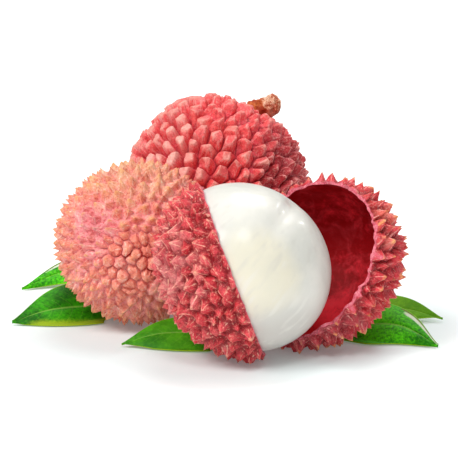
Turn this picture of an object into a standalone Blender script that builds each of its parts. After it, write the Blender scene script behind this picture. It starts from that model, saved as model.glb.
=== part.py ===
"""A small bunch of lychees: two whole fruits, one opened fruit and five leaves.

Run it with blender --background --python part.py, or from Blender's text editor.
It is in metres with +Z up. The origin is at the middle of the bunch's footprint, on
the surface that it lies on, and the bunch is seen from -Y.
"""

import math
from dataclasses import dataclass

import bmesh
import bpy
import numpy as np
from mathutils import Matrix, Vector

MM = 0.001

# Skin: the peel's tubercles and its wall.
SITE_JITTER = 0.30
RELAX_ROUNDS = 8
RELAX_STEP = 0.2
RELAX_REACH = 0.5
HEIGHT_SEED = 100
PEEL_WALL = 0.55 * MM
CLEARANCE = 0.3 * MM
FOOT_RADIUS = 3.6 * MM

# How far the hollow round a stem end spreads, as a share of the body's height.
DIMPLE_REACH = 0.03

# Leaves.
LEAF_THICKNESS = 0.62 * MM
LEAF_STATIONS = 15
LEAF_COLUMNS = 4
LEAF_STEP = 0.01
LEAF_DROOP = 0.1
LEAF_FULLNESS = 0.72
LEAF_TAPER = 1.15
LEAF_STALK = 0.1
LEAF_TIP = 0.04
LEAF_WAVES = 5.5
LEAF_WAVE_SKEW = 0.8


@dataclass
class Skin:
    """The tubercles of one fruit: how many, how tall, and how blunt."""

    count: int
    height: float
    seed: int
    top: float = 0.0
    dome: float = 0.0
    lean: float = 0.25
    spread: float = 0.2
    crowding: float = 0.0


@dataclass
class Fruit:
    """A fruit's smooth body: a half-size along each of its own axes, and where it lies."""

    centre: Vector
    half_sizes: Vector
    stem_axis: Vector
    side_axis: Vector
    taper: float = 0.0
    dimple: float = 0.0

    def matrix(self):
        """Local +Z is the stem axis, and local +X lies towards the side axis."""
        z = self.stem_axis.normalized()
        x = (self.side_axis - z * self.side_axis.dot(z)).normalized()
        y = z.cross(x)
        turn = Matrix((x, y, z)).transposed().to_4x4()
        return Matrix.Translation(self.centre) @ turn

    def point(self, direction, lift=0.0):
        """The body's surface in one direction, raised by lift along its normal."""
        x, y, z = direction
        a, b, c = self.half_sizes
        girth = 1 + self.taper * z
        shoulder = self.dimple * math.exp(-((1 - z) / DIMPLE_REACH))
        normal = Vector((x / a, y / b, z / c)).normalized()
        return Vector((a * x * girth, b * y * girth, c * z - shoulder)) + normal * lift


@dataclass
class Leaf:
    """A leaflet: its midrib from base to tip, its half width, and how its halves rise.

    near and far are the rise in degrees of the half towards -Y and of the other half,
    at the base and at the tip. Lengths are in millimetres.
    """

    name: str
    midrib: tuple
    half_width: float
    near: tuple
    far: tuple
    wave: float
    phase: float


# The three fruits. Every one stands on the surface, z = 0.
OPENED = Fruit(
    centre=Vector((1.0, 0.0, 17.6)) * MM,
    half_sizes=Vector((17.0, 15.7, 15.7)) * MM,
    stem_axis=Vector((0.60, 0.19, 0.776)),
    side_axis=Vector((0.80, -0.145, -0.582)),
)
LEFT = Fruit(
    centre=Vector((-19.8, 24.7, 16.4)) * MM,
    half_sizes=Vector((15.6, 15.1, 15.3)) * MM,
    stem_axis=Vector((-0.45, 0.62, 0.64)),
    side_axis=Vector((1.0, 0.0, 0.0)),
    taper=0.03,
    dimple=1.0 * MM,
)
BACK = Fruit(
    centre=Vector((-4.4, 53.8, 19.8)) * MM,
    half_sizes=Vector((17.8, 17.2, 18.8)) * MM,
    stem_axis=Vector((0.40, 0.28, 0.87)),
    side_axis=Vector((1.0, 0.0, 0.0)),
    taper=0.04,
    dimple=2.2 * MM,
)
LOBE = Fruit(
    centre=Vector((13.3, 8.0, 16.7)) * MM,
    half_sizes=Vector((16.9, 15.0, 14.9)) * MM,
    stem_axis=Vector((-0.35, 0.25, 0.90)),
    side_axis=Vector((0.89, 0.11, 0.437)),
)

SPIKES_LEFT = Skin(count=540, height=1.25 * MM, seed=3)
SPIKES_OPENED = Skin(count=430, height=1.3 * MM, seed=8)
SPIKES_LOBE = Skin(count=430, height=1.35 * MM, seed=12)
PLATES_BACK = Skin(count=270, height=1.05 * MM, seed=5, top=0.52, dome=0.30 * MM,
                   crowding=0.16)

# The opened fruit's cuts: a point on each plane is its fruit's centre plus offset * normal.
LEFT_CUT_NORMAL = Vector((0.937, 0.055, 0.344)).normalized()
LEFT_CUT_OFFSET = -2.2 * MM
LOBE_CUT_NORMAL = Vector((-0.60, -0.66, 0.453)).normalized()
LOBE_CUT_OFFSET = 1.0 * MM
LOBE_EDGE_OFFSET = 5.2 * MM

# The groove of the flesh, from the stem end down the side that faces -Y.
GROOVE_DEPTH = 1.0 * MM
GROOVE_WIDTH = 0.15
GROOVE_REACH = 0.75
GROOVE_START = 0.12

# The woody stalk on the back fruit, as a route from its root to its broken end.
STALK_ROUTE = ((0.0, 0.0, 0.0), (0.3, 0.0, 0.9), (1.7, 0.0, 1.6), (3.6, 0.0, 1.5), (5.6, 0.0, 1.1))
STALK_RADII = (1.05, 0.9, 1.0, 1.75, 1.7)

LEAVES = (
    Leaf("leaf_left_rear", ((-13.0, 55.0, 0.6), (-24.0, 56.3, 3.0), (-34.5, 54.8, 2.6),
                            (-43.7, 49.0, 0.6)), 5.2, (-25, -20), (45, 40), 0.4, 0.3),
    Leaf("leaf_left_front", ((-20.5, 33.5, 0.5), (-28.5, 29.5, 2.0), (-37.0, 25.2, 2.4),
                             (-44.4, 22.4, 0.7)), 7.0, (-26, -24), (46, 40), 0.4, 1.1),
    Leaf("leaf_front", ((2.0, 7.8, 0.5), (-6.0, 7.3, 2.4), (-15.0, 7.0, 2.6),
                        (-22.6, 6.4, 0.6)), 5.4, (-35, -30), (32, 35), 0.3, 2.0),
    Leaf("leaf_right_front", ((17.5, 14.0, 0.5), (25.0, 14.0, 2.4), (31.5, 11.4, 2.8),
                              (38.2, 5.6, 0.6)), 6.8, (-28, -25), (38, 32), 0.5, 0.8),
    Leaf("leaf_right_rear", ((15.5, 17.5, 0.5), (23.5, 23.0, 2.0), (32.0, 26.6, 2.2),
                             (40.0, 25.0, 0.7)), 5.0, (-22, -20), (42, 35), 0.4, 2.6),
)

COLOURS = {
    "peel_coral": ((0.80, 0.22, 0.15), 0.62),
    "peel_rose": ((0.66, 0.06, 0.07), 0.55),
    "peel_crimson": ((0.58, 0.05, 0.07), 0.60),
    "flesh": ((0.86, 0.87, 0.82), 0.22),
    "stalk": ((0.42, 0.18, 0.07), 0.85),
    "leaf": ((0.06, 0.26, 0.02), 0.42),
}


def material(name):
    """The Principled material of one colour."""
    made = bpy.data.materials.get(name)
    if made is None:
        (red, green, blue), roughness = COLOURS[name]
        made = bpy.data.materials.new(name)
        made.use_nodes = True
        shader = made.node_tree.nodes["Principled BSDF"]
        shader.inputs["Base Color"].default_value = (red, green, blue, 1)
        shader.inputs["Roughness"].default_value = roughness
        shader.inputs["Metallic"].default_value = 0.0
        made.diffuse_color = (red, green, blue, 1)
    return made


def new_object(name, mesh, collection, colour=None, matrix=None):
    """Links a mesh as an object, with its material and place."""
    made = bpy.data.objects.new(name, mesh)
    collection.objects.link(made)
    if colour:
        mesh.materials.append(material(colour))
    if matrix is not None:
        made.matrix_world = matrix
    return made


def tubercle_sites(skin):
    """Irregular but even directions over a sphere, closer together round the stem end."""
    rng = np.random.default_rng(skin.seed)
    step = np.arange(skin.count) + 0.5
    height = 1 - 2 * step / skin.count
    turn = step * math.pi * (3 - math.sqrt(5))
    ring = np.sqrt(1 - height**2)
    sites = np.column_stack((ring * np.cos(turn), ring * np.sin(turn), height))
    spacing = math.sqrt(4 * math.pi / skin.count)
    sites += rng.normal(0, SITE_JITTER * spacing, sites.shape)
    sites /= np.linalg.norm(sites, axis=1, keepdims=True)
    for _ in range(RELAX_ROUNDS):
        away = sites[:, None] - sites[None]
        near = np.exp(-(away**2).sum(2) / (RELAX_REACH * spacing**2))
        sites += RELAX_STEP * (away * near[..., None]).sum(1)
        sites /= np.linalg.norm(sites, axis=1, keepdims=True)
    polar = np.arccos(np.clip(sites[:, 2], -1, 1))
    drawn_in = polar - skin.crowding * np.sin(polar) * (1 + np.cos(polar))
    shrink = np.sin(drawn_in) / np.maximum(np.sin(polar), 1e-6)
    return np.column_stack((sites[:, 0] * shrink, sites[:, 1] * shrink, np.cos(drawn_in)))


def skin_cells(sites):
    """A closed mesh with a fan of triangles round each site and valleys half-way between."""
    shape = bmesh.new()
    for site in sites:
        shape.verts.new(site)
    bmesh.ops.convex_hull(shape, input=shape.verts[:])
    ridges = shape.edges[:]
    peaks = shape.verts[:]
    bmesh.ops.poke(shape, faces=shape.faces[:])
    bmesh.ops.rotate_edges(shape, edges=ridges, use_ccw=False)
    return shape, peaks


def skin_mesh(name, fruit, skin):
    """The fruit's outer surface: every tubercle stands on its own cell of the skin."""
    rng = np.random.default_rng(skin.seed + HEIGHT_SEED)
    shape, peaks = skin_cells(tubercle_sites(skin))
    tip_drift = skin.lean * math.sqrt(math.pi / skin.count)
    tips = {}
    for peak in peaks:
        drift = Vector(rng.normal(0, tip_drift, 3))
        height = skin.height * (1 + rng.uniform(-skin.spread, skin.spread))
        tips[peak] = fruit.point((peak.co + drift).normalized(), height)
    for vert in shape.verts:
        vert.co = tips.get(vert) or fruit.point(vert.co.normalized())
    if skin.top:
        blunt_tops(shape, peaks, skin, rng)
    bmesh.ops.recalc_face_normals(shape, faces=shape.faces[:])
    mesh = bpy.data.meshes.new(name)
    shape.to_mesh(mesh)
    shape.free()
    return mesh


def blunt_tops(shape, peaks, skin, rng):
    """Turns each pointed fan into a plate: a smaller, raised and slightly domed cell."""
    bmesh.ops.dissolve_verts(shape, verts=peaks)
    plates = bmesh.ops.extrude_discrete_faces(shape, faces=shape.faces[:])["faces"]
    for plate in plates:
        middle = plate.calc_center_median()
        height = skin.height * (1 + rng.uniform(-skin.spread, skin.spread))
        rise = middle.normalized() * height
        for vert in plate.verts:
            vert.co = middle + (vert.co - middle) * skin.top + rise
    for dome in bmesh.ops.poke(shape, faces=plates)["verts"]:
        dome.co += dome.co.normalized() * skin.dome


def press(mesh, matrix, point, normal):
    """Moves what lies past a plane back onto it: skin that is pressed against something."""
    normal = Vector(normal).normalized()
    back = matrix.inverted()
    for vert in mesh.vertices:
        place = matrix @ vert.co
        past = (place - Vector(point)).dot(normal)
        if past > 0:
            vert.co = back @ (place - normal * past)


def stand(mesh, matrix, middle):
    """Flattens the underside onto the surface: a small round foot and the lowest tips."""
    press(mesh, matrix, (0, 0, 0), (0, 0, -1))
    back = matrix.inverted()
    for vert in mesh.vertices:
        place = matrix @ vert.co
        across = math.hypot(place.x - middle.x, place.y - middle.y)
        if across < FOOT_RADIUS and place.z < middle.z:
            vert.co = back @ Vector((place.x, place.y, 0))


def contact_plane(fruit, other):
    """A point and a normal of the plane where two fruits lean on each other."""
    apart = other.centre - fruit.centre
    share = reach(fruit, apart) / (reach(fruit, apart) + reach(other, -apart))
    normal = apart.normalized()
    return fruit.centre + apart * share - normal * CLEARANCE / 2, normal


def reach(fruit, direction):
    """How far the smooth body reaches from its centre in a direction."""
    turned = fruit.matrix().to_3x3().transposed() @ direction.normalized()
    return math.sqrt(sum((turned[i] * fruit.half_sizes[i]) ** 2 for i in range(3)))


def grown(fruit, amount):
    """The same fruit with its smooth body larger all round."""
    return Fruit(fruit.centre, fruit.half_sizes + Vector((amount,) * 3), fruit.stem_axis,
                 fruit.side_axis, fruit.taper, fruit.dimple)


def whole_fruit(name, fruit, skin, colour, neighbours, collection):
    """A whole fruit: one solid with its tubercles, pressed flat where it rests and leans."""
    mesh = skin_mesh(name, fruit, skin)
    matrix = fruit.matrix()
    for other in neighbours:
        press(mesh, matrix, *contact_plane(fruit, other))
    stand(mesh, matrix, fruit.centre)
    return new_object(name, mesh, collection, colour, matrix)


def ellipsoid(name, fruit, amount, collection, segments=28, rings=18):
    """A smooth body as a mesh object, larger than the fruit's body by amount."""
    shape = bmesh.new()
    bmesh.ops.create_uvsphere(shape, u_segments=segments, v_segments=rings, radius=1)
    for vert in shape.verts:
        vert.co = fruit.point(vert.co.normalized(), amount)
    mesh = bpy.data.meshes.new(name)
    shape.to_mesh(mesh)
    shape.free()
    return new_object(name, mesh, collection, matrix=fruit.matrix())


def half_space(name, point, normal, collection, size=60 * MM):
    """A large block whose face lies on a plane, on the side that its normal points to."""
    shape = bmesh.new()
    bmesh.ops.create_cube(shape, size=size)
    bmesh.ops.translate(shape, verts=shape.verts, vec=(0, 0, size / 2))
    mesh = bpy.data.meshes.new(name)
    shape.to_mesh(mesh)
    shape.free()
    turn = normal.to_track_quat("Z", "Y").to_matrix().to_4x4()
    return new_object(name, mesh, collection, matrix=Matrix.Translation(point) @ turn)


def cut(obj, cutter):
    """Takes the cutter's shape out of the object."""
    cutter.hide_render = True
    cutter.display_type = "WIRE"
    modifier = obj.modifiers.new(cutter.name, "BOOLEAN")
    modifier.operation = "DIFFERENCE"
    modifier.solver = "EXACT"
    modifier.object = cutter


def peel_half(name, body, skin, planes, neighbours, collection, cutters):
    """Part of an opened peel: a spiny shell, hollowed out and cut off at each plane."""
    outer = grown(body, PEEL_WALL + CLEARANCE)
    mesh = skin_mesh(name, outer, skin)
    matrix = outer.matrix()
    for other in neighbours:
        press(mesh, matrix, *contact_plane(outer, other))
    stand(mesh, matrix, outer.centre)
    peel = new_object(name, mesh, collection, "peel_crimson", matrix)
    cut(peel, ellipsoid(name + "_hollow", body, CLEARANCE, cutters))
    for index, (point, normal) in enumerate(planes):
        cut(peel, half_space(f"{name}_plane_{index}", point, normal, cutters))
    return peel


def flesh(collection):
    """The white flesh: a smooth egg with a shallow groove down from its stem end."""
    made = ellipsoid("flesh", OPENED, 0, collection, segments=32, rings=20)
    for vert in made.data.vertices:
        x, y, z = (vert.co[i] / OPENED.half_sizes[i] for i in range(3))
        along = min(max((z + GROOVE_REACH - 1) / GROOVE_REACH, 0), 1)
        facing = min(max((GROOVE_START - y) / (2 * GROOVE_START), 0), 1)
        depth = GROOVE_DEPTH * along * facing * math.exp(-(x / GROOVE_WIDTH) ** 2)
        vert.co -= vert.co.normalized() * depth
    made.data.materials.append(material("flesh"))
    return made


def stalk(collection):
    """The back fruit's broken stalk: a bent woody stub with a swollen, rough end."""
    tallest = PLATES_BACK.height * (1 + PLATES_BACK.spread) + PLATES_BACK.dome
    root = BACK.matrix() @ BACK.point(Vector((0, 0, 1)), tallest + CLEARANCE)
    curve = bpy.data.curves.new("stalk_route", "CURVE")
    curve.dimensions = "3D"
    curve.bevel_depth = MM
    curve.bevel_resolution = 3
    curve.resolution_u = 4
    curve.use_fill_caps = True
    line = curve.splines.new("NURBS")
    line.points.add(len(STALK_ROUTE) - 1)
    for knot, place, radius in zip(line.points, STALK_ROUTE, STALK_RADII):
        knot.co = (*(root + Vector(place) * MM), 1)
        knot.radius = radius
    line.order_u = 3
    line.use_endpoint_u = True
    return new_object("stalk", curve, collection, "stalk")


def spline(points, amount):
    """A point on a smooth curve through the points, for an amount from 0 to 1."""
    knots = [Vector(point) for point in points]
    knots = [knots[0] * 2 - knots[1], *knots, knots[-1] * 2 - knots[-2]]
    spans = len(knots) - 3
    place = min(amount * spans, spans - 1e-6)
    index = int(place)
    t = place - index
    a, b, c, d = knots[index:index + 4]
    return 0.5 * ((2 * b) + (c - a) * t + (2 * a - 5 * b + 4 * c - d) * t**2
                  + (3 * b - a - 3 * c + d) * t**3)


def leaf_half_width(amount):
    """The blade's outline, from its short stalk at 0 to the drawn-out tip at 1."""
    blade = math.sin(math.pi * min(amount, 1) ** LEAF_FULLNESS) ** LEAF_TAPER
    return max(blade, LEAF_STALK * (1 - amount) + LEAF_TIP)


def leaf_point(leaf, amount, across):
    """A point of the blade's middle surface: along the midrib, and -1 (near) to 1 across it."""
    middle = spline(leaf.midrib, amount)
    tangent = (spline(leaf.midrib, min(amount + LEAF_STEP, 1))
               - spline(leaf.midrib, max(amount - LEAF_STEP, 0))).normalized()
    level = Vector((0, 0, 1)).cross(tangent).normalized()
    away = level if level.y > 0 else -level
    above = Vector((0, 0, 1))
    base, tip = leaf.near if across < 0 else leaf.far
    rise = math.radians(base + (tip - base) * amount)
    out = leaf.half_width * leaf_half_width(amount) * across
    lift = abs(out) * math.sin(rise) - LEAF_DROOP * out * across
    lift += leaf.wave * across**2 * math.sin(LEAF_WAVES * amount + leaf.phase + LEAF_WAVE_SKEW * across)
    return (middle + away * out * math.cos(rise) + above * lift) * MM


def lean_on(place, fruit, skin):
    """Moves a point of a blade out of a fruit, onto the tips of its tubercles or round its foot."""
    away = place - fruit.centre
    nearest = reach(fruit, away) + skin.height * (1 + skin.spread) + CLEARANCE + LEAF_THICKNESS / 2
    away *= max(1, nearest / away.length)
    lowest = LEAF_THICKNESS / 2 - fruit.centre.z
    if away.z < lowest:
        clear = math.sqrt(max(nearest**2 - lowest**2, 0))
        across = math.hypot(away.x, away.y)
        away.x *= max(1, clear / across)
        away.y *= max(1, clear / across)
        away.z = lowest
    return fruit.centre + away


def leaf_blade(leaf, fruits, collection):
    """A leaflet as one thin curved sheet that leans on the fruits and lies on the surface."""
    shape = bmesh.new()
    bmesh.ops.create_grid(shape, x_segments=LEAF_STATIONS, y_segments=LEAF_COLUMNS, size=1)
    for vert in shape.verts:
        place = leaf_point(leaf, (vert.co.x + 1) / 2, vert.co.y)
        for fruit, skin in fruits:
            place = lean_on(place, fruit, skin)
        vert.co = place
    bmesh.ops.triangulate(shape, faces=shape.faces[:])
    mesh = bpy.data.meshes.new(leaf.name)
    shape.to_mesh(mesh)
    shape.free()
    made = new_object(leaf.name, mesh, collection, "leaf")
    sheet = made.modifiers.new("Thickness", "SOLIDIFY")
    sheet.thickness = LEAF_THICKNESS
    sheet.offset = 0
    sheet.use_even_offset = False
    return made


def centre_origin(bunch, cutters):
    """Parents every object to an empty, set so that the bunch's box is centred on the origin."""
    graph = bpy.context.evaluated_depsgraph_get()
    places = []
    for obj in bunch.objects:
        shown = obj.evaluated_get(graph)
        places += [shown.matrix_world @ vert.co for vert in shown.to_mesh().vertices]
        shown.to_mesh_clear()
    lowest, highest = np.min(places, axis=0), np.max(places, axis=0)
    origin = bpy.data.objects.new("bunch_origin", None)
    origin.location = (-(lowest[0] + highest[0]) / 2, -(lowest[1] + highest[1]) / 2, -lowest[2])
    bunch.objects.link(origin)
    for obj in (*bunch.objects, *cutters.objects):
        if obj != origin:
            obj.parent = origin


def main():
    """Builds the bunch and sets its origin at the middle of its footprint."""
    for old in list(bpy.data.objects):
        bpy.data.objects.remove(old)
    bunch = bpy.data.collections.new("lychee_bunch")
    cutters = bpy.data.collections.new("cutters")
    for collection in (bunch, cutters):
        bpy.context.scene.collection.children.link(collection)

    opened_skin = grown(OPENED, PEEL_WALL + CLEARANCE)
    towards_flesh = (OPENED.centre - LOBE.centre).normalized()
    left_plane = (OPENED.centre + LEFT_CUT_NORMAL * LEFT_CUT_OFFSET, LEFT_CUT_NORMAL)
    lobe_plane = (LOBE.centre + LOBE_CUT_NORMAL * LOBE_CUT_OFFSET, LOBE_CUT_NORMAL)
    lobe_edge = (LOBE.centre + towards_flesh * LOBE_EDGE_OFFSET, towards_flesh)

    whole_fruit("fruit_left", LEFT, SPIKES_LEFT, "peel_coral", (opened_skin, BACK), bunch)
    whole_fruit("fruit_back", BACK, PLATES_BACK, "peel_rose", (LEFT,), bunch)
    stalk(bunch)
    peel_half("peel_left", OPENED, SPIKES_OPENED, (left_plane,), (LEFT,), bunch, cutters)
    peel_half("peel_right", LOBE, SPIKES_LOBE, (lobe_plane, lobe_edge), (), bunch, cutters)
    flesh(bunch)
    fruits = ((LEFT, SPIKES_LEFT), (opened_skin, SPIKES_OPENED), (BACK, PLATES_BACK),
              (grown(LOBE, PEEL_WALL + CLEARANCE), SPIKES_LOBE))
    for leaf in LEAVES:
        leaf_blade(leaf, fruits, bunch)
    centre_origin(bunch, cutters)


main()
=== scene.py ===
"""The dressed bunch of lychees: two whole fruits, one opened fruit and five leaves.

Lengths are in millimetres and places are in the bunch's own frame, as in the part's
source, until a piece becomes a mesh: Sculpt.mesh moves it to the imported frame, in metres.
"""
import logging
import math
from dataclasses import dataclass, field, replace
from enum import Enum

import bmesh
import bpy
import numpy as np
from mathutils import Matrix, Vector


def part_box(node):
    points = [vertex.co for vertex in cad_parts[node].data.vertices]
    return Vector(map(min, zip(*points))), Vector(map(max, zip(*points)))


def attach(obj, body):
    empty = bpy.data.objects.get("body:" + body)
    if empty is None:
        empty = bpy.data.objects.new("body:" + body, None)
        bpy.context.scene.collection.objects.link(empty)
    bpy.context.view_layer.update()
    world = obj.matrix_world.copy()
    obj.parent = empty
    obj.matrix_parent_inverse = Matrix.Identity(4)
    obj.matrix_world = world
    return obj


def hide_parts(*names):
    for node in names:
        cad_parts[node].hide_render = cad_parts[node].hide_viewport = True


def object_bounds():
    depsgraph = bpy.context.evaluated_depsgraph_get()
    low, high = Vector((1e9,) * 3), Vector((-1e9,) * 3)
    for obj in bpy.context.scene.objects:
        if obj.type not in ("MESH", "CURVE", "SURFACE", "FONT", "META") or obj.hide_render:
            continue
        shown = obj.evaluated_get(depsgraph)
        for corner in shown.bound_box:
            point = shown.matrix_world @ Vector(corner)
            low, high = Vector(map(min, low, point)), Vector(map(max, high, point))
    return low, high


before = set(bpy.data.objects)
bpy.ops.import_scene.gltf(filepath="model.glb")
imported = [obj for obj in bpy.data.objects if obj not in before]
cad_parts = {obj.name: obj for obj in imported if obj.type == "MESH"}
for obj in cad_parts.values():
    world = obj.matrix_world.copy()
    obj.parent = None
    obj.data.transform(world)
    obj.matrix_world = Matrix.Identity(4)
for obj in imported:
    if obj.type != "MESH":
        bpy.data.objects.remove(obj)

CAD_BOX = [list(corner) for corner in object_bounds()]

MM = 0.001
LOG = logging.getLogger("lychees")

Triple = tuple[float, float, float]
UPWARDS = np.array((0.0, 0.0, 1.0))
WHITE = (1.0, 1.0, 1.0)

# Rules that the part's source gives to its skins.
SITE_JITTER = 0.30
RELAX_ROUNDS = 8
RELAX_STEP = 0.2
RELAX_REACH = 0.5
HEIGHT_SEED = 100
PEEL_WALL = 0.55
CLEARANCE = 0.3
DIMPLE_REACH = 0.03

# How far a fruit sinks before its foot is pressed flat, and over what depth the opened
# fruit is squeezed towards a cut.
SETTLE = 0.15
SQUEEZE_REACH = 12.0

# The bunch is seen from -Y, from a little above.
VIEW_RISE = math.radians(14)
TOWARDS_VIEWER = (0.0, -math.cos(VIEW_RISE), math.sin(VIEW_RISE))

# How far the mark of a tubercle's height goes, where 1 is its usual top.
HIGHEST_RISE = 1.1

# The Mix node has an output of every kind, and this one is the colour.
MIXED_COLOUR = 2


class Region(Enum):
    """The sides of a peel, as the slots of its materials."""

    OUTSIDE = 0
    INSIDE = 1
    EDGE = 2


def unit(vectors: np.ndarray) -> np.ndarray:
    """Scales vectors to a length of one."""
    vectors = np.asarray(vectors, float)
    return vectors / np.maximum(np.linalg.norm(vectors, axis=-1, keepdims=True), 1e-12)


def smooth(low: float, high: float, amount: np.ndarray) -> np.ndarray:
    """Rises smoothly from 0 at low to 1 at high."""
    share = np.clip((amount - low) / (high - low), 0, 1)
    return share * share * (3 - 2 * share)


def ripples(points: np.ndarray, size: float, seed: int, count: int = 24) -> np.ndarray:
    """Gives smooth irregular values, mostly from -1 to 1.

    Args:
        points: Places, one a row.
        size: How far apart the swells are.
        seed: Which pattern of swells.
        count: How many waves are added up.

    Returns:
        A value for each place.
    """
    rng = np.random.default_rng(seed)
    waves = unit(rng.normal(size=(count, 3))) * rng.uniform(0.6, 1.5, (count, 1))
    phases = rng.uniform(0, 2 * math.pi, count)
    return np.sin(points @ waves.T * (2 * math.pi / size) + phases).sum(1) / math.sqrt(2 * count)


@dataclass(frozen=True)
class Ripples:
    """A layer of ripples: how high and how far apart its swells are, and their pattern."""

    height: float
    size: float
    seed: int
    count: int = 24

    def over(self, points: np.ndarray) -> np.ndarray:
        """Gives the layer's height at each place."""
        return self.height * ripples(points, self.size, self.seed, self.count)


def northwards(directions: np.ndarray) -> np.ndarray:
    """Gives the way to the stem along the surface at each direction."""
    return unit(UPWARDS - directions * directions[:, 2:])


def squeezed(points: np.ndarray, start: Triple, normal: Triple, share: float) -> np.ndarray:
    """Flattens what lies behind a plane a little towards it.

    Args:
        points: The places.
        start: A point of the plane.
        normal: The direction in which the plane faces.
        share: How much of its depth a place loses at most.

    Returns:
        The moved places.
    """
    depth = (points - np.array(start)) @ unit(normal)
    amount = share * smooth(0.0, SQUEEZE_REACH, -depth)
    return points - np.outer(depth * amount, unit(normal))


@dataclass(frozen=True)
class Patch:
    """A soft-edged round area of a fruit, by the direction in which it faces."""

    facing: Triple
    spread: float
    strength: float = 1.0

    def over(self, directions: np.ndarray) -> np.ndarray:
        """Gives the patch's strength in each direction of the bunch's frame."""
        angle = np.arccos(np.clip(directions @ unit(self.facing), -1, 1))
        return self.strength * (1 - smooth(0.35, 1.0, angle / self.spread))


def patched(patches: tuple[Patch, ...], directions: np.ndarray) -> np.ndarray:
    """Adds up the strengths of several patches in each direction."""
    return sum((patch.over(directions) for patch in patches), np.zeros(len(directions)))


@dataclass(frozen=True)
class Body:
    """A fruit's smooth body: a half-size along each of its own axes, and where it lies."""

    centre: Triple
    half_sizes: Triple
    stem_axis: Triple
    side_axis: Triple
    taper: float = 0.0
    dimple: float = 0.0

    @property
    def axes(self) -> np.ndarray:
        """The body's own x, y and z axes, one a row. z is the stem's axis."""
        upright = unit(self.stem_axis)
        side = np.array(self.side_axis)
        across = unit(side - upright * (side @ upright))
        return np.array((across, np.cross(upright, across), upright))

    def grown(self, amount: float) -> "Body":
        """Gives the same body, larger all round."""
        return replace(self, half_sizes=tuple(size + amount for size in self.half_sizes))

    def surface(self, directions: np.ndarray, lift: np.ndarray | float = 0.0) -> np.ndarray:
        """Finds places on the body.

        Args:
            directions: Unit directions along the body's own axes.
            lift: How far each place is raised along the body's normal.

        Returns:
            The places in the bunch's frame.
        """
        sizes = np.array(self.half_sizes)
        height = directions[:, 2]
        girth = 1 + self.taper * height
        local = directions * sizes * np.column_stack((girth, girth, np.ones_like(girth)))
        local[:, 2] -= self.dimple * np.exp((height - 1) / DIMPLE_REACH)
        local += unit(directions / sizes) * np.reshape(lift, (-1, 1))
        return np.array(self.centre) + local @ self.axes

    def reach(self, directions: np.ndarray) -> np.ndarray:
        """Measures how far the smooth body reaches from its centre in each direction."""
        return np.linalg.norm(unit(directions) @ self.axes.T * self.half_sizes, axis=-1)

    def beyond(self, direction: Triple, distance: float) -> Triple:
        """Finds the point at a distance from the body's centre in a direction."""
        return tuple(np.array(self.centre) + unit(direction) * distance)

    def contact(self, other: "Body") -> tuple[np.ndarray, np.ndarray]:
        """Finds the plane where this fruit leans on another.

        Args:
            other: The other fruit's body.

        Returns:
            A point of the plane, and its normal.
        """
        apart = np.array(other.centre) - np.array(self.centre)
        share = self.reach(apart) / (self.reach(apart) + other.reach(-apart))
        normal = unit(apart)
        return np.array(self.centre) + apart * share - normal * CLEARANCE / 2, normal


def even_sites(count: int, seed: int) -> np.ndarray:
    """Spreads irregular but even directions over a sphere."""
    rng = np.random.default_rng(seed)
    step = np.arange(count) + 0.5
    height = 1 - 2 * step / count
    turn = step * math.pi * (3 - math.sqrt(5))
    ring = np.sqrt(1 - height**2)
    sites = np.column_stack((ring * np.cos(turn), ring * np.sin(turn), height))
    spacing = math.sqrt(4 * math.pi / count)
    sites = unit(sites + rng.normal(0, SITE_JITTER * spacing, sites.shape))
    for _ in range(RELAX_ROUNDS):
        away = sites[:, None] - sites[None]
        near = np.exp(-(away**2).sum(2) / (RELAX_REACH * spacing**2))
        sites = unit(sites + RELAX_STEP * (away * near[..., None]).sum(1))
    return sites


@dataclass(frozen=True)
class Tubercles:
    """The tubercles of one skin: how many, how tall, and how they stand."""

    count: int
    height: float
    seed: int
    lean: float = 0.25
    spread: float = 0.2

    @property
    def tallest(self) -> float:
        """How tall the tallest tubercle may be."""
        return self.height * (1 + self.spread)

    def tips(self) -> tuple[np.ndarray, np.ndarray]:
        """Draws each tubercle's drift and height, in the order that the part draws them.

        Returns:
            The drift of each tip on a unit sphere, and its height.
        """
        rng = np.random.default_rng(self.seed + HEIGHT_SEED)
        reach = self.lean * math.sqrt(math.pi / self.count)
        drifts = np.empty((self.count, 3))
        heights = np.empty(self.count)
        for index in range(self.count):
            drifts[index] = rng.normal(0, reach, 3)
            heights[index] = self.height * (1 + rng.uniform(-self.spread, self.spread))
        return drifts, heights


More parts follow.
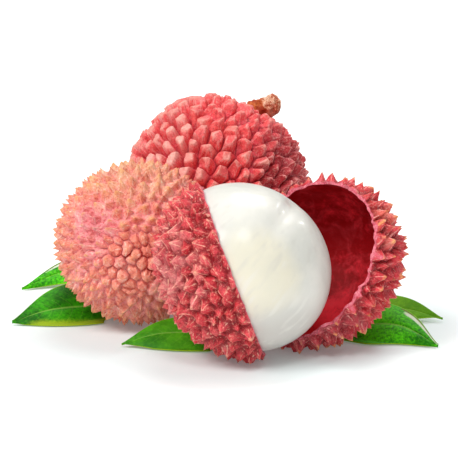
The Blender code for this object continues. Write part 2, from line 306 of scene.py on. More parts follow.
@dataclass(frozen=True)
class Lattice:
    """A fine net over a sphere: each place is a mix of the three sites round it."""

    start: np.ndarray
    tips: np.ndarray
    shares: np.ndarray
    faces: np.ndarray
    triangle: np.ndarray

    @staticmethod
    def hull(sites: np.ndarray) -> np.ndarray:
        """Joins neighbouring sites of a sphere into triangles that face outwards."""
        shape = bmesh.new()
        for site in sites:
            shape.verts.new(site)
        bmesh.ops.convex_hull(shape, input=shape.verts[:])
        shape.verts.index_update()
        triangles = np.array([[vert.index for vert in face.verts] for face in shape.faces])
        shape.free()
        a, b, c = (sites[triangles[:, corner]] for corner in range(3))
        inwards = (np.cross(b - a, c - a) * (a + b + c)).sum(1) < 0
        triangles[inwards] = triangles[inwards][:, ::-1]
        return triangles

    @classmethod
    def between(cls, sites: np.ndarray, steps: int) -> "Lattice":
        """Divides the triangles between sites into a fine net.

        Args:
            sites: Unit directions, one a row.
            steps: Into how many parts each side of a triangle is divided.

        Returns:
            The net, whose first places are the sites.
        """
        triangles = cls.hull(sites)
        every = np.arange(len(triangles))
        ends = triangles[:, [[0, 1], [1, 2], [2, 0]]]
        edges, edge_of = np.unique(np.sort(ends, axis=2).reshape(-1, 2), axis=0,
                                   return_inverse=True)
        edge_of = edge_of.reshape(-1, 3)
        inner = [(i, j) for i in range(1, steps) for j in range(1, steps - i)]
        first_inner = len(sites) + len(edges) * (steps - 1)
        number = np.zeros((len(triangles), steps + 1, steps + 1), int)
        number[:, steps, 0], number[:, 0, steps], number[:, 0, 0] = triangles.T
        for step in range(1, steps):
            for side, (i, j) in enumerate(((steps - step, step), (0, steps - step), (step, 0))):
                forward = ends[:, side, 0] < ends[:, side, 1]
                along = np.where(forward, step, steps - step)
                number[:, i, j] = len(sites) + edge_of[:, side] * (steps - 1) + along - 1
        for place, (i, j) in enumerate(inner):
            number[:, i, j] = first_inner + every * len(inner) + place
        total = first_inner + len(triangles) * len(inner)
        tips, shares = np.zeros((total, 3), int), np.zeros((total, 3))
        triangle = np.zeros(total, int)
        faces = []
        for i in range(steps + 1):
            for j in range(steps + 1 - i):
                here = number[:, i, j]
                tips[here], triangle[here] = triangles, every
                shares[here] = np.array((i, j, steps - i - j)) / steps
                if i + j < steps:
                    after, beside = number[:, i + 1, j], number[:, i, j + 1]
                    faces.append(np.column_stack((here, after, beside)))
                if i + j < steps - 1:
                    faces.append(np.column_stack((after, number[:, i + 1, j + 1], beside)))
        start = unit((sites[tips] * shares[..., None]).sum(1))
        return cls(start, tips, shares, np.concatenate(faces), triangle)


@dataclass
class Sculpt:
    """A mesh in the making: places, faces, and marks that its materials read."""

    points: np.ndarray
    faces: np.ndarray | list
    marks: dict[str, np.ndarray] = field(default_factory=dict)
    regions: np.ndarray | None = None

    def press(self, point: np.ndarray, normal: np.ndarray) -> None:
        """Moves what lies past a plane back onto it."""
        past = np.maximum((self.points - point) @ normal, 0)
        self.points = self.points - np.outer(past, normal)

    def press_flat(self) -> None:
        """Presses what lies below the surface that the bunch rests on up to it."""
        self.press(np.zeros(3), -UPWARDS)

    def stand(self, middle: float) -> None:
        """Stretches what lies below a height down to the surface, and presses it flat there."""
        height = self.points[:, 2]
        stretch = (middle + SETTLE) / (middle - height.min())
        self.points[:, 2] = np.where(height < middle, middle - (middle - height) * stretch, height)
        self.press_flat()

    def mesh(self, name: str) -> bpy.types.Mesh:
        """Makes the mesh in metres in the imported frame, smoothly shaded, with its marks."""
        made = bpy.data.meshes.new(name)
        places = np.clip((self.points + ORIGIN) * MM, *CAD_BOX)
        faces = self.faces.tolist() if isinstance(self.faces, np.ndarray) else self.faces
        made.from_pydata(places.tolist(), [], faces)
        for mark, values in self.marks.items():
            layer = made.attributes.new(mark, "FLOAT", "POINT")
            layer.data.foreach_set("value", np.asarray(values, np.float32))
        if self.regions is not None:
            made.polygons.foreach_set("material_index", self.regions.astype(np.int32))
        made.shade_smooth()
        made.update()
        return made


def join(*parts: Sculpt) -> Sculpt:
    """Puts several sculpts into one, with every mark of any of them."""
    names = {mark for part in parts for mark in part.marks}
    starts = np.cumsum([0] + [len(part.points) for part in parts])
    marks = {mark: np.concatenate([part.marks.get(mark, np.zeros(len(part.points)))
                                   for part in parts]) for mark in names}
    faces = [np.asarray(part.faces) + start for part, start in zip(parts, starts)]
    regions = [np.full(len(part.faces), Region.OUTSIDE.value) if part.regions is None
               else part.regions for part in parts]
    return Sculpt(np.concatenate([part.points for part in parts]), np.concatenate(faces), marks,
                  np.concatenate(regions))


@dataclass(frozen=True)
class Piece:
    """An object of the scene that stands for a node of the part."""

    node: str
    ending: str
    slot: str

    @property
    def name(self) -> str:
        """The piece's name."""
        return f"{self.node}_{self.ending}"

    def set_down(self, mesh: bpy.types.Mesh, *finishes: bpy.types.Material) -> bpy.types.Object:
        """Links the mesh with its materials, ties it to the part's body and hides the node's own
        mesh.
        """
        for finish in finishes:
            mesh.materials.append(finish)
        made = bpy.data.objects.new(self.name, mesh)
        bpy.context.scene.collection.objects.link(made)
        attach(made, "root")
        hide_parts(self.node)
        mesh.calc_loop_triangles()
        LOG.info("%s: %d triangles, stands for %s", self.name, len(mesh.loop_triangles), self.node)
        return made


# ---------------------------------------------------------------- materials


def tint(code: str) -> tuple[float, float, float, float]:
    """Turns a colour's usual six-figure code into the linear values that shaders use."""
    values = (int(code[start:start + 2], 16) / 255 for start in (0, 2, 4))
    linear = (value / 12.92 if value <= 0.04045 else ((value + 0.055) / 1.055) ** 2.4
              for value in values)
    return (*linear, 1.0)


class Value:
    """A number that varies over a surface: a socket that Python's operators work on."""

    def __init__(self, paint: "Paint", socket: bpy.types.NodeSocket) -> None:
        """Wraps a socket of a material's nodes."""
        self.paint = paint
        self.socket = socket

    def _math(self, operation: str, *values: object) -> "Value":
        """Adds a Math node that works on these values in their order."""
        made = self.paint.node("ShaderNodeMath", {"operation": operation},
                               dict(enumerate(values)))
        return Value(self.paint, made.outputs[0])

    def __add__(self, other: object) -> "Value":
        """Adds."""
        return self._math("ADD", self, other)

    __radd__ = __add__

    def __sub__(self, other: object) -> "Value":
        """Subtracts."""
        return self._math("SUBTRACT", self, other)

    def __rsub__(self, other: object) -> "Value":
        """Subtracts this from a number."""
        return self._math("SUBTRACT", other, self)

    def __mul__(self, other: object) -> "Value":
        """Multiplies."""
        return self._math("MULTIPLY", self, other)

    __rmul__ = __mul__

    def __pow__(self, other: object) -> "Value":
        """Raises to a power."""
        return self._math("POWER", self, other)

    def __rpow__(self, other: object) -> "Value":
        """Raises a number to this power."""
        return self._math("POWER", other, self)

    def __abs__(self) -> "Value":
        """Takes the sign away."""
        return self._math("ABSOLUTE", self)

    def fraction(self) -> "Value":
        """Keeps what stands after the decimal point."""
        return self._math("FRACT", self)

    def at_least(self, other: object) -> "Value":
        """Takes the larger of the two."""
        return self._math("MAXIMUM", self, other)

    def smooth(self, low: float, high: float) -> "Value":
        """Rises smoothly from 0 at low to 1 at high, or falls where high is the lower."""
        flipped = high < low
        made = self.paint.node("ShaderNodeMapRange", {"interpolation_type": "SMOOTHSTEP"}, {
            "Value": self, "From Min": min(low, high), "From Max": max(low, high),
            "To Min": float(flipped), "To Max": float(not flipped)})
        return Value(self.paint, made.outputs["Result"])


class Paint:
    """The nodes of one material."""

    def __init__(self, name: str) -> None:
        """Starts a material with a Principled shader."""
        self.material = bpy.data.materials.new(name)
        self.material.use_nodes = True
        self.tree = self.material.node_tree
        self.shader = self.tree.nodes["Principled BSDF"]

    def plug(self, socket: bpy.types.NodeSocket, value: object) -> None:
        """Links a value or a socket to an input, or sets a plain number or colour on it."""
        if isinstance(value, Value):
            value = value.socket
        if isinstance(value, bpy.types.NodeSocket):
            self.tree.links.new(value, socket)
        else:
            socket.default_value = value

    def node(self, kind: str, settings: dict[str, object] | None = None,
             inputs: dict[str | int, object] | None = None) -> bpy.types.Node:
        """Adds a node.

        Args:
            kind: The node's type.
            settings: What is set on it first.
            inputs: A number, a colour or a link for its sockets, by their name,
                identifier or place.

        Returns:
            The node.
        """
        made = self.tree.nodes.new(kind)
        for name, value in (settings or {}).items():
            setattr(made, name, value)
        known = {socket.identifier: socket for socket in made.inputs}
        for name, value in (inputs or {}).items():
            self.plug(known.get(name) or made.inputs[name], value)
        return made

    def marks(self, *names: str) -> tuple[Value, ...]:
        """Reads marks of the mesh."""
        return tuple(Value(self, self.node("ShaderNodeAttribute", {"attribute_name": name})
                           .outputs["Fac"]) for name in names)

    def places(self) -> bpy.types.NodeSocket:
        """Gives object coordinates in millimetres."""
        made = self.node("ShaderNodeTexCoord")
        scaled = self.node("ShaderNodeMapping", None, {
            "Vector": made.outputs["Object"], "Scale": (1 / MM, 1 / MM, 1 / MM)})
        return scaled.outputs["Vector"]

    def noise(self, size: float, detail: float = 2.0, roughness: float = 0.5,
              distortion: float = 0.0) -> Value:
        """Adds noise from 0 to 1.

        Args:
            size: How far apart its swells are, in millimetres.
            detail: How many finer layers it has.
            roughness: How strong the finer layers are.
            distortion: How much it is warped.

        Returns:
            The noise.
        """
        made = self.node("ShaderNodeTexNoise", None, {
            "Vector": self.places(), "Scale": 1 / size, "Detail": detail,
            "Roughness": roughness, "Distortion": distortion})
        return Value(self, made.outputs[0])

    def blend(self, amount: object, first: object, second: object,
              how: str = "MIX") -> bpy.types.NodeSocket:
        """Mixes two colours, from the first at 0 to the second at 1."""
        made = self.node("ShaderNodeMix", {"data_type": "RGBA", "blend_type": how}, {
            "Factor_Float": amount, "A_Color": first, "B_Color": second})
        return made.outputs[MIXED_COLOUR]

    def lay(self, colour: bpy.types.NodeSocket,
            *layers: tuple[Value, str]) -> bpy.types.NodeSocket:
        """Lays further colours over a colour, each by its own amount, in their order."""
        for amount, code in layers:
            colour = self.blend(amount, colour, tint(code))
        return colour

    def finish(self, colour: object, roughness: object, relief: Value | None = None,
               depth: float = 0.1, **constants: object) -> bpy.types.Material:
        """Fits the shader.

        Args:
            colour: The base colour.
            roughness: The roughness.
            relief: The height of the fine relief, from 0 to 1.
            depth: How deep the relief is, in millimetres.
            **constants: Other sockets of the shader, the same all over, with _ for a space.

        Returns:
            The finished material.
        """
        self.plug(self.shader.inputs["Base Color"], colour)
        self.plug(self.shader.inputs["Roughness"], roughness)
        for name, value in constants.items():
            self.shader.inputs[name.replace("_", " ")].default_value = value
        if relief is not None:
            bump = self.node("ShaderNodeBump", None, {"Height": relief, "Distance": depth * MM})
            self.plug(self.shader.inputs["Normal"], bump.outputs["Normal"])
        return self.material


@dataclass(frozen=True)
class SkinFinish:
    """The outside of a peel, coloured by the height, ribs and fibres of its tubercles."""

    name: str
    valley: str
    flank: str
    tip: str
    rib: str
    deep: str
    bright: str
    warm: str
    pale: str
    dull: str
    torn: str = "dc5c70"
    tip_start: float = 0.55
    tip_strength: float = 0.7
    rib_strength: float = 0.5
    bright_strength: float = 0.5
    deep_strength: float = 0.6
    crease_strength: float = 0.7
    fibre_strength: float = 0.5
    speck_strength: float = 0.25
    torn_strength: float = 0.75
    dull_depth: float = 0.1
    mottling: float = 1.1
    roughness: float = 0.45
    grain: float = 0.18

    def make(self) -> bpy.types.Material:
        """Builds the material."""
        paint = Paint(self.name)
        rise, ridge, tone, fibre, crease = paint.marks("rise", "ridge", "tone", "fibre", "crease")
        dull, pale, warm, edge = paint.marks("dull", "pale", "warm", "edge")
        tone, broad = tone - 0.5, paint.noise(5.0, 3.0) - 0.5
        medium, fine = paint.noise(1.5, 4.0, 0.7, 0.4), paint.noise(0.55, 4.0, 0.75, 0.5)
        height = (rise + (fine - 0.5) * 0.5).smooth(0.0, 0.5)
        dull = (dull + broad * 0.6 + (medium - 0.5) * 0.5).smooth(0.2, 0.9)
        pale = (pale * 0.9 + broad + (medium - 0.5) + tone * 0.9).smooth(0.2, 1.0)
        warm = (warm + broad * 0.8 + tone * 0.4).smooth(0.25, 0.95)
        dark = (medium * 0.7 + fine * 0.3).smooth(0.5, 0.36)
        lit = (medium * 0.5 + fine * 0.5).smooth(0.52, 0.64)
        specks = paint.noise(0.3, 2.0, 0.6).smooth(0.58, 0.68)
        strokes = (fibre * (fine * 1.2 + 0.2)).smooth(0.3, 0.75)
        lines = (ridge * (medium * 0.9 + 0.35)).smooth(0.25, 0.9)
        worn = (rise + (fine - 0.5) * 0.4 + tone * 0.2).smooth(self.tip_start, 1.0)
        # creases: painted shade, the deep colour laid in the creases between tubercles.
        creases = (crease * (medium * 0.8 + 0.5)).smooth(0.15, 0.95)
        torn = (edge + (fine - 0.5) * 0.4).smooth(0.3, 0.8)
        colour = paint.lay(
            paint.blend(height, tint(self.valley), tint(self.flank)),
            (dull * (0.85 - rise * self.dull_depth), self.dull),
            (pale * (rise * 0.6 + 0.3), self.pale),
            (warm * (rise * 0.4 + 0.4), self.warm),
            (dark * self.deep_strength, self.deep),
            (lit * self.bright_strength, self.bright),
            (specks * self.speck_strength, self.bright),
            (strokes * self.fibre_strength, self.bright),
            # On the pegs, the rib colour along the ridges is a painted highlight.
            (lines * self.rib_strength, self.rib),
            (worn * self.tip_strength, self.tip),
            # Painted shade in the creases.
            (creases * self.crease_strength, self.deep),
            (torn * self.torn_strength, self.torn))
        shade = tone * 0.3 + (paint.noise(0.42, 2.0, 0.6) - 0.5) * self.mottling
        cooler = shade * 1.4 + 1.0
        shades = paint.node("ShaderNodeCombineColor", None, {
            "Red": shade * 0.6 + 1.0, "Green": cooler, "Blue": cooler})
        colour = paint.blend(1.0, colour, shades.outputs[0], "MULTIPLY")
        return paint.finish(colour, (fine - 0.5) * 0.3 + self.roughness,
                            fine * 0.7 + medium * 0.3, self.grain, Specular_IOR_Level=0.4)


@dataclass(frozen=True)
class LiningFinish:
    """The smooth inside of a peel: deep crimson with clouds, faint branching veins and painted
    light.
    """

    name: str = "peel_lining"
    deep: str = "9c040e"
    bright: str = "ff3848"
    vein: str = "f05460"
    vein_strength: float = 0.32

    def make(self) -> bpy.types.Material:
        """Builds the material."""
        paint = Paint(self.name)
        light, = paint.marks("light")
        streak, fine = paint.noise(3.0, 4.0, 0.65, 0.6), paint.noise(0.6, 3.0)
        # The light mark is painted light: the lining is brighter where it lies.
        light = (light * 0.8 + (paint.noise(7.0, 3.0, 0.55) - 0.5) * 1.6
                 + (streak - 0.5) * 1.8 + (fine - 0.5) * 0.7)
        wander = abs(paint.noise(5.0, 2.0, 0.5, 0.5) - 0.5)
        veins = wander.smooth(0.09, 0.0) * (streak * 2.0 - 0.6).at_least(0.0)
        colour = paint.blend(light.smooth(-0.15, 1.0), tint(self.deep), tint(self.bright))
        colour = paint.lay(colour, (veins * self.vein_strength, self.vein))
        return paint.finish(colour, fine * 0.2 + 0.45, veins * 0.5 + fine * 0.4, 0.12,
                            Specular_IOR_Level=0.2)


@dataclass(frozen=True)
class EdgeFinish:
    """The torn edge of a peel: pale pink, a little fibrous."""

    name: str = "peel_edge"
    pink: str = "d44860"
    pale: str = "f08c98"

    def make(self) -> bpy.types.Material:
        """Builds the material."""
        paint = Paint(self.name)
        fine = paint.noise(0.5, 4.0, 0.7)
        colour = paint.blend(fine.smooth(0.35, 0.7), tint(self.pink), tint(self.pale))
        return paint.finish(colour, fine * 0.3 + 0.35, fine, 0.12)


@dataclass(frozen=True)
class FleshFinish:
    """The glossy white flesh: milky, with creamy clouds, faint strands and painted shade, greyer
    below.
    """

    name: str = "flesh_milky"
    white: str = "eae8e0"
    cream: str = "eae4cc"
    cool: str = "dcdcd4"
    shade: str = "d2d0c8"
    grey: str = "ccc6c0"

    def make(self) -> bpy.types.Material:
        """Builds the material."""
        paint = Paint(self.name)
        cream, grey, strand = paint.marks("warm", "grey", "strand")
        cloud, fine = paint.noise(9.0, 3.0), paint.noise(0.8, 3.0)
        strand = strand + (cloud - 0.5) * 2
        colour = paint.lay(
            paint.blend(cloud.smooth(0.35, 0.7), tint(self.cool), tint(self.white)),
            ((cream + (cloud - 0.5) * 0.8).smooth(0.2, 0.9) * 0.7, self.cream),
            # Painted shade: greyer towards the bottom.
            ((grey + (cloud - 0.5) * 0.4).smooth(0.0, 1.0) * 0.8, self.grey),
            (strand.smooth(0.3, 1.6) * 0.5, self.white),
            (strand.smooth(-0.3, -1.6) * 0.4, self.shade))
        return paint.finish(colour, fine * 0.1 + 0.3, fine, 0.03,
                            Subsurface_Weight=0.35, Subsurface_Radius=(0.8, 0.8, 0.7),
                            Subsurface_Scale=3 * MM, Coat_Weight=0.13, Coat_Roughness=0.12,
                            Specular_IOR_Level=0.35)


@dataclass(frozen=True)
class StalkFinish:
    """The woody stalk: orange-brown bark, painted darker red-brown below as shade, pale broken wood
    at its end.
    """

    name: str = "stalk_wood"
    bark: str = "f08c44"
    dark: str = "a43414"
    pale: str = "f8ccac"

    def make(self) -> bpy.types.Material:
        """Builds the material."""
        paint = Paint(self.name)
        wood, under = paint.marks("wood", "under")
        broad, fine = paint.noise(1.6, 3.0), paint.noise(0.35, 4.0, 0.7)
        bark = (broad * 0.6 + fine * 0.4).smooth(0.35, 0.65)
        wood = wood * 0.5 + (broad - 0.5) * 2.0 + (fine - 0.5) * 1.6
        cracks = abs(paint.noise(0.9, 2.0, 0.6, 0.8) - 0.5).smooth(0.05, 0.0)
        # under: painted shade where the stalk faces down.
        under = (under + (broad - 0.5) * 0.6).smooth(0.3, 0.8)
        colour = paint.lay(
            paint.blend(bark, tint(self.dark), tint(self.bark)),
            (wood.smooth(0.2, 0.65), self.pale),
            (cracks * 0.7, self.dark),
            (under * 0.8, self.dark))
        return paint.finish(colour, fine * 0.2 + 0.7, fine * 0.7 + broad * 0.3, 0.25)


@dataclass(frozen=True)
class LeafFinish:
    """A leaflet's blade: mottled green with a pale midrib, faint side veins, a rim and painted
    highlights.
    """

    name: str
    dark: str
    green: str
    light: str = "e8f0dc"
    rim: str = "a4c828"
    vein: str = "8cc050"
    fold: str = "a0bc20"
    line: str = "7a7034"
    veins: float = 13.0
    mottling: float = 1.4
    roughness: float = 0.42

    def make(self) -> bpy.types.Material:
        """Builds the material."""
        paint = Paint(self.name)
        along, across, fold, gloss, line = paint.marks("along", "across", "fold", "gloss", "line")
        across = abs(across)
        mottle, broad = paint.noise(0.55, 5.0, 0.72), paint.noise(5.0, 2.0)
        green = (mottle - 0.5) * self.mottling + (broad - 0.5) * 1.2 + (0.75 - along * 0.4)
        count = along * self.veins - (across**1.3) * 2.2
        side = abs(count.fraction() - 0.5).smooth(0.07, 0.0) * across.smooth(0.9, 0.3)
        fold = (fold + (mottle - 0.5) * 0.9).smooth(0.1, 0.9)
        # A pale streak painted as the highlight of a glossy fold.
        gloss = (gloss + (mottle - 0.5) * 0.9).smooth(0.3, 0.9)
        colour = paint.lay(
            paint.blend(green.smooth(0.1, 0.95), tint(self.dark), tint(self.green)),
            (side * (mottle * 0.4), self.vein),
            (across.smooth(0.05, 0.015) * 0.6, self.vein),
            (across.smooth(0.94, 0.99) * 0.8, self.rim),
            (fold * 0.85, self.fold),
            (gloss * 0.85, self.light),
            (line.smooth(0.3, 0.7), self.line))
        return paint.finish(colour, mottle * 0.2 + self.roughness,
                            mottle * 0.7 - side * 0.3, 0.05, Specular_IOR_Level=0.14)


@dataclass(frozen=True)
class FloorFinish:
    """The white surface, which glows a little so that it stays white further out, and glows less
    near the bunch as a painted shadow.
    """

    name: str = "white_surface"
    far: str = "eceeee"
    near: str = "dfebeb"
    reach: tuple[float, float] = (60.0, 41.0)
    glow: float = 0.3
    near_glow: float = 0.4

    def make(self) -> bpy.types.Material:
        """Builds the material."""
        paint = Paint(self.name)
        length = paint.node("ShaderNodeVectorMath", {"operation": "LENGTH"}, {0: paint.places()})
        # Near the bunch the floor glows less, a painted shadow, and is tinted cyan to cancel the
        # pink light that the fruit throws on it.
        distance = Value(paint, length.outputs["Value"]) + paint.noise(30.0) * 6
        near = distance.smooth(*self.reach)
        glow = paint.blend(near, (*WHITE, 1.0), (*(self.near_glow,) * 3, 1.0))
        paint.plug(paint.shader.inputs["Emission Color"], glow)
        return paint.finish(paint.blend(near, tint(self.far), tint(self.near)), 0.7,
                            Specular_IOR_Level=0.1, Emission_Strength=self.glow)


# ---------------------------------------------------------------- fruits


@dataclass(frozen=True)
class Shading:
    """Where a skin is warmer, paler or duller than the rest; on some fruits these patches are
    painted light and shade.
    """

    warm: tuple[Patch, ...] = ()
    pale: tuple[Patch, ...] = ()
    dull: tuple[Patch, ...] = ()

    def marks(self, directions: np.ndarray) -> dict[str, np.ndarray]:
        """Gives the marks for these directions of the bunch's frame."""
        kinds = {"warm": self.warm, "pale": self.pale, "dull": self.dull}
        return {kind: patched(patches, directions) for kind, patches in kinds.items()}


@dataclass(frozen=True)
class Cut:
    """A cut through a peel: a plane, and how much its line wavers.

    The line has broad swells, and finer ones on them as a share of their height.
    """

    point: Triple
    normal: Triple
    waver: float = 0.16
    swell: float = 5.0
    seed: int = 1
    fine_share: float = 0.4
    finer: float = 3.0

    def shift(self, points: np.ndarray) -> np.ndarray:
        """Says how far the cut's line lies off its plane beside each point."""
        normal = unit(self.normal)
        flat = points - np.outer((points - np.array(self.point)) @ normal, normal)
        return self.waver * (
            ripples(flat, self.swell, self.seed)
            + self.fine_share * ripples(flat, self.swell / self.finer, self.seed + 1))

    def past(self, points: np.ndarray) -> np.ndarray:
        """Measures how far each point lies past the cut."""
        return (points - np.array(self.point)) @ unit(self.normal) - self.shift(points)


@dataclass(frozen=True)
class Mounds:
    """An area of a spiny skin where the tubercles are low and rounded, parted by cracks painted as
    shade.
    """

    patch: Patch
    swelling: tuple[float, float] = (-0.05, 0.33)
    crown: float = 0.28
    low: float = 0.45
    uneven: float = 0.6
    least_rise: float = 0.1
    swell_rise: float = 0.6
    crack_shade: float = 1.8
    cracked: Ripples = Ripples(1.0, 0.3, 14)

    def swell(self, inside: np.ndarray) -> np.ndarray:
        """Gives a mound's height, from how far inside its border a place lies."""
        return smooth(*self.swelling, inside) * (1 - self.crown + self.crown * inside)

    def cracks(self, start: np.ndarray) -> np.ndarray:
        """Says how strong the painted shade of the cracks between the mounds is in each direction.
        """
        return self.crack_shade * smooth(-0.6, 1.1, self.cracked.over(start))


@dataclass(frozen=True)
class Spines:
    """Sharp tubercles: irregular pyramids with thin ribs, some joined to their neighbours.

    A higher power hollows their sides more. star_share is how far they are like stars
    that bridges join, on average. sway moves the tips, warp bends the borders, cut_share
    is how much of their height is left at a cut, and crumple creases the skin.
    """

    tubercles: Tubercles
    steps: int = 13
    sink: float = 0.5
    taller: float = 0.0
    power: float = 1.35
    power_spread: tuple[float, float] = (0.75, 1.35)
    star_power: float = 2.2
    star_share: float = 0.35
    rib_width: float = 0.07
    rib_spread: float = 0.25
    rib_height: float = 0.2
    hollow: float = 0.25
    crease_width: float = 0.1
    crease_shade: float = 0.6
    warp: float = 0.35
    warp_waves: tuple[float, float] = (8, 22)
    sway: float = 0.8
    cut_share: float = 0.25
    cut_fade: float = 0.8
    crumple: float = 0.05
    creases: Ripples = Ripples(2.0, 2.4, 6)
    bumps: Ripples = Ripples(0.7, 0.9, 5)
    strokes: tuple[int, ...] = (5, 11, 17)
    mounds: Mounds | None = None

    def cover(self, body: Body, shading: Shading, cuts: tuple[Cut, ...] = ()) -> Sculpt:
        """Covers a body with spines.

        Args:
            body: The smooth body.
            shading: Where the skin is warmer, paler or duller.
            cuts: Where the peel is cut, and its tubercles are low.

        Returns:
            The skin.
        """
        sites = even_sites(self.tubercles.count, self.tubercles.seed)
        drifts, heights = self.tubercles.tips()
        net = Lattice.between(sites, self.steps)
        start, shares = net.start, self._warped(net, len(sites))
        order = np.argsort(-shares, axis=1)
        first, second, third = np.take_along_axis(shares, order, 1).T
        owner, other = np.take_along_axis(net.tips, order[:, :2], 1).T
        rng = np.random.default_rng(self.tubercles.seed + 2 * HEIGHT_SEED)
        tone, stars, powers = (rng.uniform(low, high, len(sites))[owner] for low, high in (
            (0, 1), (0, 2 * self.star_share), self.power_spread))
        top = (heights + self.sink + self.taller)[owner]
        inside = np.clip(first - second, 0, 1)
        rib_width = self.rib_width + self.rib_spread * inside * self.rib_width
        rib = np.exp(-((second - third) / rib_width) ** 2)
        rib *= self._strengths(net.triangle * 3 + order[:, 0])
        bridge = np.exp(-(third / self.rib_width) ** 2) * self._strengths(owner + other)
        pyramid = inside**(self.power * powers) + 4 * self.rib_height * rib * inside * (1 - inside)
        star = first**self.star_power + second**self.star_power
        star += self.rib_height / 2 * bridge
        star -= self.hollow * (27 * first * second * third) ** 0.75
        profile = pyramid + (star - pyramid) * stars * (1 - inside**2)
        lift, rise = top * profile, np.clip(profile, 0, HIGHEST_RISE)
        ridge = np.maximum(rib * smooth(0.05, 0.3, inside), bridge * stars)
        # The crease mark is painted shade along the borders between tubercles.
        border = np.exp(-inside / self.crease_width)
        crease = self.crease_shade * border * (1 - 0.8 * bridge * stars)
        if self.mounds is not None:
            amount = self.mounds.patch.over(start @ body.axes)
            swell = self.mounds.swell(inside)
            low = self.mounds.low + self.mounds.uneven * tone
            lift += (top * low * swell - lift) * amount
            rise += (self.mounds.least_rise + self.mounds.swell_rise * swell - rise) * amount
            ridge *= 1 - amount
            crease = np.maximum(crease, amount * border * self.mounds.cracks(start))
        directions = unit(start + self.sway * smooth(0, 1, inside)[:, None] * drifts[owner])
        places = body.surface(directions)
        for cut in cuts:
            whole = smooth(0.0, self.cut_fade, -cut.past(places))
            lift *= self.cut_share + (1 - self.cut_share) * whole
        creased = 1 - np.abs(self.creases.over(places)) + self.bumps.over(places)
        lift += self.crumple * creased - self.sink
        marks = {"rise": rise, "ridge": ridge, "crease": np.clip(crease, 0, 2), "tone": tone,
                 "fibre": self._fibres(sites[owner], start, owner, inside)}
        marks |= shading.marks(start @ body.axes)
        return Sculpt(body.surface(directions, lift), net.faces, marks)

    def _warped(self, net: Lattice, count: int) -> np.ndarray:
        """Bends the borders between tubercles, so that no two are alike."""
        rng = np.random.default_rng(self.tubercles.seed + 3 * HEIGHT_SEED)
        waves = unit(rng.normal(size=(count, 3))) * rng.uniform(*self.warp_waves, (count, 1))
        phases = rng.uniform(0, 2 * math.pi, count)
        bend = np.sin((net.start[:, None] * waves[net.tips]).sum(2) + phases[net.tips])
        shares = net.shares * np.exp(self.warp * bend)
        return shares / shares.sum(1, keepdims=True)

    @staticmethod
    def _strengths(numbers: np.ndarray) -> np.ndarray:
        """Gives each number a steady but irregular strength from 0.1 to 1."""
        return 0.55 + 0.45 * np.sin(numbers * 12.9898)

    def _fibres(self, site: np.ndarray, start: np.ndarray, owner: np.ndarray,
                inside: np.ndarray) -> np.ndarray:
        """Draws fine strokes that run out from every tip.

        Args:
            site: The direction of each place's tubercle.
            start: The direction of each place.
            owner: The number of each place's tubercle.
            inside: How far inside its border each place lies.

        Returns:
            How strong the strokes are, from 0 to 1.
        """
        east = unit(np.cross(site, np.array((0.31, 0.17, 0.94))))
        north = np.cross(site, east)
        away = start - site
        turn = np.arctan2((away * north).sum(1), (away * east).sum(1))
        waves = sum(np.cos(turn * count + owner * (1.7 + count)) for count in self.strokes)
        return np.clip(waves / len(self.strokes) * 1.6, 0, 1) ** 1.5 * smooth(0.0, 0.25, inside)


